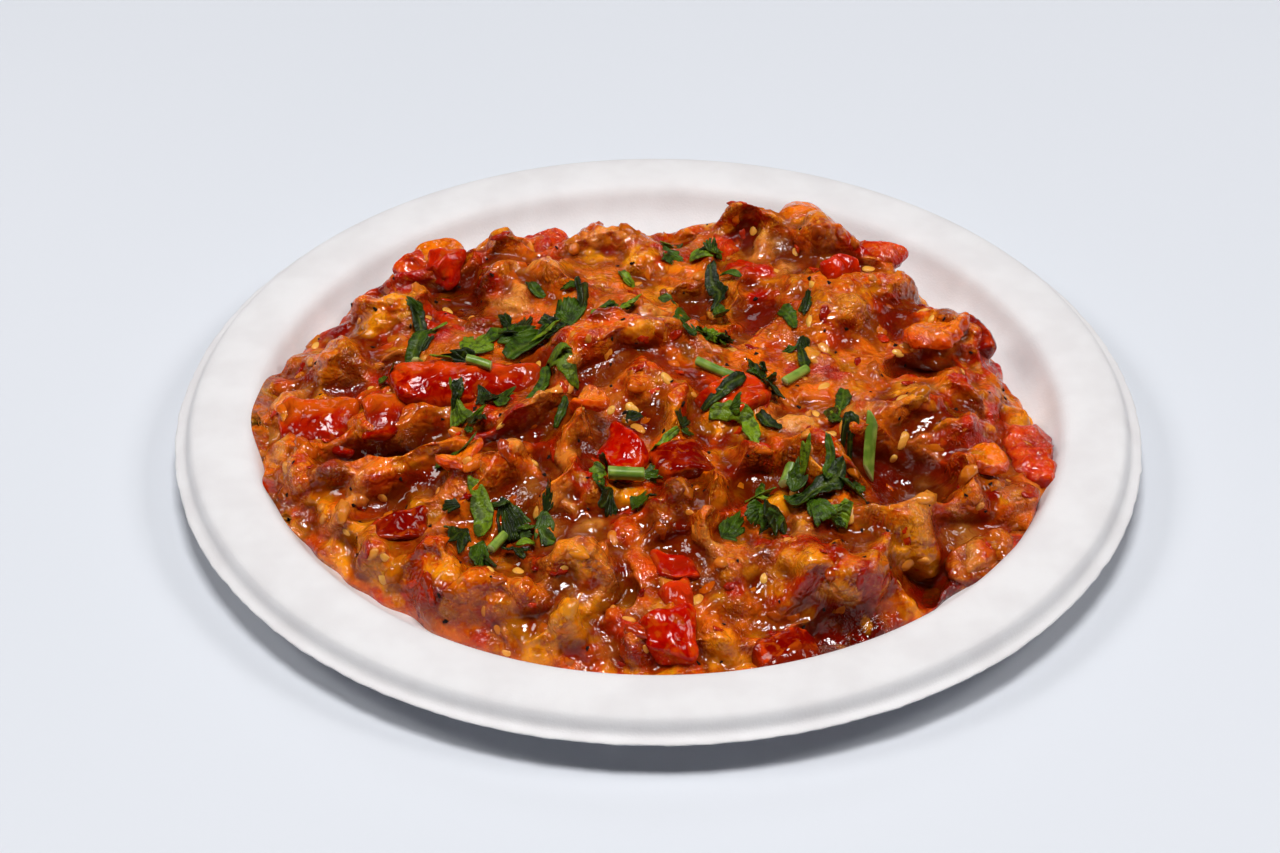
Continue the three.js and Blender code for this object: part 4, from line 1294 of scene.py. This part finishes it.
# Chopped leaves by bunch: x, y, direction, length, width, shade, curl.
LEAF_BUNCHES = [
    [
        (-36, 6, 55, 12, 9, "light", 0.2), (-28, 4, 42, 15, 6, "mid", 0.3),
        (-33, 3, 165, 9, 4, "dark", 0.6), (-26, 12, 80, 7, 5, "dark", 0.5),
        (-30, 10, 20, 9, 5, "mid", 0.4), (-24, 8, 35, 8, 5, "light", 0.3),
    ],
    [
        (-18, 13, 75, 9, 6, "mid", 0.3), (-13, 14, 50, 9, 6, "mid", 0.4),
        (-14, 19, 95, 7, 3.6, "dark", 0.5), (-8, 16, 35, 6.4, 4.4, "light", 0.4),
        (-16, 13, 160, 7, 4, "dark", 0.4),
    ],
    [
        (-46, 9, 70, 9.5, 3.6, "mid", 0.4), (-44, 16, 100, 7.6, 3.1, "dark", 0.5),
        (-42, 15, 60, 4.8, 2.7, "light", 0.3),
    ],
    [
        (-38, -5, -70, 8.4, 5.2, "light", 0.4), (-33, -5, -60, 6.5, 5.2, "dark", 0.7),
        (-34, -12, -75, 9.3, 5.2, "dark", 0.5), (-30, -10, -20, 4.6, 3.4, "mid", 0.5),
        (-34, -19, -90, 4.6, 2.1, "mid", 0.3),
    ],
    [(-23, -9, 75, 9.8, 2.8, "mid", 0.5), (-20, 1, -60, 9.8, 3.9, "light", 0.4)],
    [
        (-33, -33, -80, 10.9, 4.1, "light", 0.3), (-28, -34, -70, 9.1, 5.7, "dark", 0.5),
        (-34, -40, -110, 7.3, 4.1, "dark", 0.5), (-31, -43, -95, 9.1, 4.9, "mid", 0.4),
        (-27, -44, -60, 8.2, 4.9, "dark", 0.6), (-25, -40, -15, 4.5, 3.3, "mid", 0.5),
        (-35, -37, 170, 3.6, 2.5, "dark", 0.4),
    ],
    [(-20, -40, -95, 7.2, 3.6, "mid", 0.3), (-20, -41, 80, 3.6, 2.4, "dark", 0.4)],
    [
        (-10, -28, -80, 5.3, 2.3, "dark", 0.6), (-8, -36, -110, 5.3, 4.7, "dark", 0.5),
        (-5, -37, -60, 5.3, 3.9, "mid", 0.4), (-9, -35, 190, 3.6, 3.1, "light", 0.4),
        (-4, -33, 20, 4.5, 3.1, "mid", 0.5),
    ],
    [
        (-1, -26, 50, 7.2, 1.6, "light", 0.2), (4, -20, 80, 4.5, 2.8, "dark", 0.6),
        (4, -20, 10, 2.7, 2.4, "mid", 0.5),
    ],
    [
        (17, -5, 20, 5.4, 4, "dark", 0.8), (19, -2, 100, 4.5, 4, "dark", 0.8),
        (20, -6, -75, 5.4, 4, "dark", 0.7), (21, -4, 170, 5.4, 3.2, "mid", 0.6),
    ],
    [
        (9, -15.5, -5, 8.6, 2.4, "light", 0.3), (16, -16, -78, 7.7, 2.9, "light", 0.3),
        (12, -16, 15, 3.4, 2.2, "mid", 0.3),
    ],
    [
        (23, 20, -75, 8, 2.7, "mid", 0.5), (27, 16, 80, 5.3, 2.7, "dark", 0.5),
        (27, 12, -100, 6.2, 3.1, "dark", 0.6), (26, 8, -85, 8, 1.9, "dark", 0.4),
    ],
    [
        (34, -3, -100, 6.9, 2.9, "mid", 0.4), (31, -8, -85, 6.9, 3.2, "dark", 0.5),
        (31, -13, -75, 6, 2.4, "mid", 0.4),
    ],
    [
        (18, -29, -80, 5.4, 3.2, "mid", 0.3), (15, -36, 30, 6.3, 3.2, "light", 0.4),
        (24, -38, 35, 11.7, 4, "dark", 0.6), (31, -33, -10, 6.3, 4, "mid", 0.5),
        (22, -36, -20, 7.2, 4.8, "mid", 0.5), (21, -38, -100, 8.1, 4.8, "dark", 0.6),
        (26, -38, -60, 7.2, 4.8, "mid", 0.5), (28, -40, -20, 6.3, 4, "light", 0.5),
        (19, -40, -140, 5.4, 4, "mid", 0.5), (24, -36, 80, 5.4, 4, "mid", 0.5),
    ],
    [
        (4, 50, -110, 7.2, 3.2, "mid", 0.5), (1, 43, -50, 8.1, 4, "mid", 0.4),
        (6, 38, 25, 7.2, 4.8, "light", 0.4), (10, 38, 80, 5.4, 3.2, "mid", 0.4),
        (10, 35, -70, 8.1, 3.2, "dark", 0.4), (11, 30, -95, 8.1, 2.7, "dark", 0.4),
        (11, 22, -88, 8.1, 2.6, "mid", 0.4),
    ],
    [
        (9, 12, -100, 7.2, 3.2, "mid", 0.7), (8, 8, 40, 5.4, 3.2, "light", 0.6),
        (11, 11, -60, 6.3, 3.2, "dark", 0.6), (7, 6, 150, 3.6, 2.4, "mid", 0.5),
    ],
    [(-7, 36, -70, 6.3, 2.7, "light", 0.5), (-5, 31, 100, 3.6, 2.4, "light", 0.5)],
]

# Loose snips of leaf: x, y, direction, length, width, shade, curl.
LEAF_SNIPS = [
    (-18.5, -19, 70, 6, 1.8, "mid", 0.2),
    (-40, -26, -5, 8, 1.8, "mid", 0.2),
    (8, -13.5, 38, 10, 2.6, "dark", 0.3),
    (18, -14, -52, 6.5, 2.6, "dark", 0.4),
    (11, -47, 58, 8, 4.2, "mid", 0.2),
    (3.5, 13, 75, 9, 3.2, "mid", 0.4),
    (0, 28.5, -25, 4, 2, "mid", 0.2),
    (-24.5, 29, -55, 6, 2.2, "mid", 0.2),
    (-51, 4, -65, 7, 2, "mid", 0.4),
    (-6, -15, 10, 4, 2.6, "dark", 0.4),
    (34, -18, -90, 6, 3, "dark", 0.4),
]

# Lengths of stalk: x, y, direction, length, thickness, and whether it lies on a bunch.
STALKS = [
    (7, 0.5, -30, 9.5, 1.7, False),
    (-35, -0.8, -12, 4.6, 1.9, False),
    (-44.5, 0.5, 75, 6, 1.5, False),
    (37.6, -24, 82, 5.4, 2, False),
    (23, -4, 52, 7, 1.7, False),
    (-9, -34, 3, 6.4, 2.6, True),
    (-29.5, -46, 62, 5, 1.6, True),
    (22, -33, 65, 3, 2, True),
]


def close_sheet(top):
    """A grid of points as a thin closed shell: the same grid above and below, and a wall round it."""
    rows, columns, _ = top.shape
    normals = grid_normals(top)
    normals = np.where(normals[..., 2:3] < 0, -normals, normals)
    bottom = top - normals * LEAF_THICKNESS
    index = np.arange(rows * columns).reshape(rows, columns)
    gap = rows * columns
    above = np.stack([index[:-1, :-1], index[1:, :-1], index[1:, 1:], index[:-1, 1:]], axis=-1)
    above = above.reshape(-1, 4)
    loop = np.concatenate([index[:, 0], index[-1, 1:], index[-2::-1, -1], index[0, -2:0:-1]])
    after = np.roll(loop, -1)
    wall = np.stack([after, loop, loop + gap, after + gap], axis=-1)
    points = np.vstack([top.reshape(-1, 3), bottom.reshape(-1, 3)])
    return points, np.vstack([above, above[:, ::-1] + gap, wall]).tolist()


def blade_form(length, width, curl, rng):
    """A sliver cut from a leaf, along +X, folded along its midrib and a little twisted."""
    along, across = np.meshgrid(np.linspace(0, 1, 22), np.linspace(-1, 1, 7), indexing="ij")
    envelope = np.sin(math.pi * (0.08 + 0.9 * along) ** rng.uniform(0.7, 1.2)) ** 0.5
    teeth = 0.16 * np.abs(np.sin(along * rng.uniform(9, 14) + 1.3 * np.sign(across)))
    half = width / 2 * envelope * (1 - teeth) + 0.12
    x = along * length + rng.uniform(-0.4, 0.4) * across * half
    y = across * half + rng.uniform(-0.12, 0.12) * length * np.sin(math.pi * along)
    folded = rng.uniform(0.1, 0.45) * np.abs(across) * half
    z = folded + curl * 0.5 * length * (along - 0.5) ** 2 * rng.choice((1, -0.5))
    twist = rng.uniform(-1.1, 1.1) * (along - 0.4)
    y, z = y * np.cos(twist) - z * np.sin(twist), z * np.cos(twist) + y * np.sin(twist)
    vein = 1 - smooth_ramp(0.03, 0.2, np.abs(across))
    return np.stack([x, y, z], axis=-1), vein


def fan_form(length, width, curl, rng):
    """A leaflet that opens along +X in pleated, toothed lobes, some of it cut straight off."""
    radial, angular = np.meshgrid(np.linspace(0.05, 1, 9), np.linspace(-1, 1, 33), indexing="ij")
    spread = rng.uniform(0.7, 1.3)
    lobes = rng.choice((1, 2, 2, 3))
    phase = angular * lobes + rng.uniform(-0.5, 0.5) + 0.2 * np.sin(angular * rng.uniform(2, 4))
    within = np.abs((phase + 0.5) % 1 - 0.5) * 2
    lobe = 1 - rng.uniform(0.2, 0.5) * within ** 1.3
    torn = ribbon_noise(angular * 4.5, rng) * 0.2 + ribbon_noise(angular * 11, rng) * 0.12
    reach = lobe * (1 + torn) * (1 - 0.25 * angular ** 2)
    angle = angular * spread
    if rng.random() < 0.6:
        slope = rng.uniform(-0.8, 0.8)
        reach = np.minimum(reach, rng.uniform(0.5, 0.8) / np.maximum(np.cos(angle - slope), 0.3))
    radius = radial * reach
    x = radius * np.cos(angle) * length / np.max(radius * np.cos(angle))
    y = radius * np.sin(angle) * width / 2 / np.max(np.abs(radius * np.sin(angle)))
    z = rng.uniform(0.06, 0.2) * width * within * radial ** 1.3 * (0.35 + curl)
    z = z + curl * 0.35 * length * radial ** 2 * np.cos(rng.uniform(1.0, 2.6) * angular + rng.uniform(0, 6))
    lean = math.tan(rng.uniform(-0.6, 0.6) * (0.3 + curl))
    rise = math.tan(rng.uniform(-0.15, 0.4) * curl)
    z = z + y * lean + x * rise
    vein = (1 - smooth_ramp(0.05, 0.22, within)) * (1 - 0.5 * radial)
    return np.stack([x, y, z], axis=-1), vein


def ribbon_noise(line, rng):
    """Smooth noise from -1 to 1 along a line."""
    start = rng.uniform(0, 90)
    places = np.stack([line.ravel(), np.full(line.size, start), np.zeros(line.size)], axis=-1)
    return wander(places, 1.0).reshape(line.shape)


def leaf_form(length, width, curl, rng):
    """One chopped bit of leaf along +X as a thin closed shell."""
    build = fan_form if width > 0.42 * length else blade_form
    top, vein = build(length, width, curl, rng)
    crumpled = ruffle(top.reshape(-1, 3), rng.uniform(0, 90), (2.6, 0.45), (1.2, 0.16))
    points, faces = close_sheet(crumpled.reshape(top.shape))
    return points, faces, np.tile(vein.ravel(), 2)


def top_of(bvh, x, y):
    hit = bvh.ray_cast(Vector((x * MM, y * MM, 0.1)), Vector((0, 0, -1)))
    return hit[0].z / MM if hit[0] is not None else RIM_HEIGHT


def bowl_terms(x, y):
    """The terms of a surface that may lean and bend both ways."""
    return np.stack([np.ones_like(x), x, y, x ** 2, y ** 2], axis=-1)


def lay_down(points, bvh, x, y, direction, lift, stiffness=30):
    """Turns a form that lies along +X, and drapes its middle surface over what is below."""
    angle = math.radians(direction)
    near_x = points[:, 0] * math.cos(angle) - points[:, 1] * math.sin(angle)
    near_y = points[:, 0] * math.sin(angle) + points[:, 1] * math.cos(angle)
    step = max(1, len(points) // DRAPE_SAMPLES)
    terms = bowl_terms(near_x[::step], near_y[::step])
    ground = np.array([top_of(bvh, x + px, y + py) for px, py in zip(near_x[::step], near_y[::step])])
    resist = 0.5 * np.diag([0, 1, 1, stiffness, stiffness])
    fit, *_ = np.linalg.lstsq(terms.T @ terms + resist, terms.T @ ground, rcond=None)
    proud = np.max(ground - terms @ fit)
    height = points[:, 2] + bowl_terms(near_x, near_y) @ fit + DRAPE_CLEARANCE * proud + lift
    return np.stack([near_x + x, near_y + y, height], axis=-1)


def add_leaf(shape, row, bvh, rng, lift):
    x, y, direction, length, width, shade, curl = row
    points, faces, vein = leaf_form(WILTED_LENGTH * length, WILTED_WIDTH * width, curl, rng)
    placed = lay_down(points, bvh, x, y, direction, lift)
    colour = np.array(LEAF_SHADES[shade]) * rng.uniform(0.8, 1.2)
    shape.add(placed, faces, leaf_colour=colour, vein=vein)


def offcut(row, rng):
    """A smaller bit that lies by a larger one."""
    x, y, direction, length, width, _, curl = row
    angle = math.radians(direction)
    along = rng.uniform(0.1, 0.6) * length
    across = rng.choice((-1, 1)) * rng.uniform(0.15, 0.45) * width
    return (
        x + along * math.cos(angle) - across * math.sin(angle),
        y + along * math.sin(angle) + across * math.cos(angle),
        direction + rng.uniform(-70, 70),
        length * rng.uniform(0.4, 0.65),
        width * rng.uniform(0.4, 0.7),
        rng.choice(("dark", "mid", "mid", "light")),
        min(1.0, curl + 0.2),
    )


def stalk_form(length, thickness, rng):
    """A short length of stalk along +X, ribbed, a little bent, cut square at both ends."""
    sides = 14
    angle = np.arange(sides) * 2 * math.pi / sides
    along = [0, 0.02, *np.linspace(0.06, 0.94, 5), 0.98, 1.0]
    bow = rng.uniform(-0.06, 0.06) * length
    points, cut = [], []
    for share in along:
        at_end = share in (0, 1)
        radius = thickness / 2 * (0.86 if at_end else 1.0) * (1 + 0.06 * np.cos(5 * angle))
        y = radius * np.cos(angle) + bow * math.sin(math.pi * share)
        z = radius * np.sin(angle) + thickness * 0.42
        points.append(np.stack([np.full(sides, share * length), y, z], axis=-1))
        cut.append(np.full(sides, float(at_end)))
    count = len(along)
    faces = [(a, d, c, b) for a, b, c, d in tube_faces(count, sides)]
    faces.append(tuple(reversed(range(sides))))
    faces.append(tuple(range((count - 1) * sides, count * sides)))
    rib = np.tile(0.5 - 0.5 * np.cos(5 * angle), count)
    return np.concatenate(points), faces, rib, np.concatenate(cut)


def make_parsley(bvh):
    rng = random.Random(17)
    leaf, stalk = leaf_finish(), stalk_finish()
    for number, bunch in enumerate(LEAF_BUNCHES, start=1):
        shape = Shape()
        for layer, row in enumerate(bunch):
            add_leaf(shape, row, bvh, rng, LEAF_LIFT + LAYER_STEP * layer)
            width = row[4]
            if width > OFFCUT_FROM_WIDTH:
                add_leaf(shape, offcut(row, rng), bvh, rng, OFFCUT_LIFT + LAYER_STEP * layer)
        declare(shape.piece(f"parsley_leaves_{number:02d}", leaf), "parsley", f"parsley_bunch_{number:02d}")
    snips = Shape()
    for row in LEAF_SNIPS:
        add_leaf(snips, row, bvh, rng, LEAF_LIFT)
    declare(snips.piece("parsley_snips", leaf), "parsley", "aubergine_mash")
    stalks = Shape()
    for x, y, direction, length, thickness, on_bunch in STALKS:
        points, faces, rib, cut = stalk_form(length, thickness, rng)
        placed = lay_down(points, bvh, x, y, direction, float(on_bunch), stiffness=1e6)
        stalks.add(placed, faces, rib=rib, cut=cut)
    declare(stalks.piece("parsley_stalks", stalk), "parsley", "aubergine_mash")


# ---- stage, light and camera ---------------------------------------------------------


def look_at(thing, target):
    direction = Vector(target) - thing.location
    thing.rotation_euler = direction.to_track_quat("-Z", "Y").to_euler()


LAMP_TINT = (1.0, 0.985, 0.97)
SKY_TINT = (0.84, 0.91, 1.0)
SKY_STRENGTH = 0.005
SKY_GLOW = 0.012

# Lit panels, in metres and watts: name, place, width, depth, power, tint.
PANELS = [
    ("side_strip_-1", (-1.0, -0.05, 1.05), 0.5, 0.4, 5.2, LAMP_TINT),
    ("side_strip_1", (1.0, -0.05, 1.05), 0.5, 0.4, 5.2, LAMP_TINT),
    ("overhead", (0.0, -0.26, 1.38), 0.42, 0.3, 13.7, LAMP_TINT),
    ("backdrop_glow", (0.0, 1.12, 0.84), 0.7, 0.3, 1.15, (0.9, 0.92, 1.0)),
]

FLOOR_REACH = 4000
LENS_LENGTH = 120
SENSOR_WIDTH = 36
CAMERA_ELEVATION = 36.769
CAMERA_DISTANCE = 782.3
CAMERA_AIM = (-3.372, -5.126, RIM_HEIGHT)


def add_panel(name, place, width, depth, power, tint):
    light = bpy.data.lights.new(name, "AREA")
    light.shape = "RECTANGLE"
    light.size = width
    light.size_y = depth
    light.energy = power
    light.color = tint
    panel = bpy.data.objects.new(name, light)
    bpy.context.scene.collection.objects.link(panel)
    panel.location = place
    look_at(panel, (0, 0, 0))


def make_stage():
    """A pale floor, four lit panels, and a faint sky that is brighter behind the plate."""
    corners = [(x * FLOOR_REACH, y * FLOOR_REACH, 0) for x, y in ((-1, -1), (1, -1), (1, 1), (-1, 1))]
    make_mesh("floor", corners, [(0, 1, 2, 3)], floor_finish(), smooth=False)
    for panel in PANELS:
        add_panel(*panel)
    world = bpy.data.worlds.new("pale_room")
    world.use_nodes = True
    sky = Graph(world.node_tree)
    towards = sky.add("ShaderNodeTexCoord", output="Generated")
    backward = sky.add("ShaderNodeSeparateXYZ", {"Vector": towards}, "Y")
    strength = SKY_STRENGTH + sky.step(backward, 0.2, 0.85) * SKY_GLOW
    background = world.node_tree.nodes["Background"]
    background.inputs["Color"].default_value = (*SKY_TINT, 1)
    world.node_tree.links.new(strength.socket, background.inputs["Strength"])
    bpy.context.scene.world = world


def make_camera():
    """A long lens looking along +Y and down at the heap."""
    elevation = math.radians(CAMERA_ELEVATION)
    aim = Vector(CAMERA_AIM) * MM
    lens = bpy.data.cameras.new("camera")
    lens.lens = LENS_LENGTH
    lens.sensor_width = SENSOR_WIDTH
    camera = bpy.data.objects.new("camera", lens)
    bpy.context.scene.collection.objects.link(camera)
    camera.location = aim + CAMERA_DISTANCE * MM * Vector((0, -math.cos(elevation), math.sin(elevation)))
    look_at(camera, aim)
    bpy.context.scene.camera = camera
    bpy.context.scene.view_settings.view_transform = "Standard"


def surface_below(*pieces):
    """What later pieces come to lie on."""
    vertices, faces = [], []
    for piece in pieces:
        start = len(vertices)
        vertices.extend(vertex.co.copy() for vertex in piece.data.vertices)
        faces.extend([start + i for i in face.vertices] for face in piece.data.polygons)
    return BVHTree.FromPolygons(vertices, faces)


make_camera()
make_stage()
make_plate()
mash = make_mash()
lumps = make_peppers(surface_below(mash), mash.data.materials[0])
strew_small_things(mash)
make_parsley(surface_below(mash, *lumps))
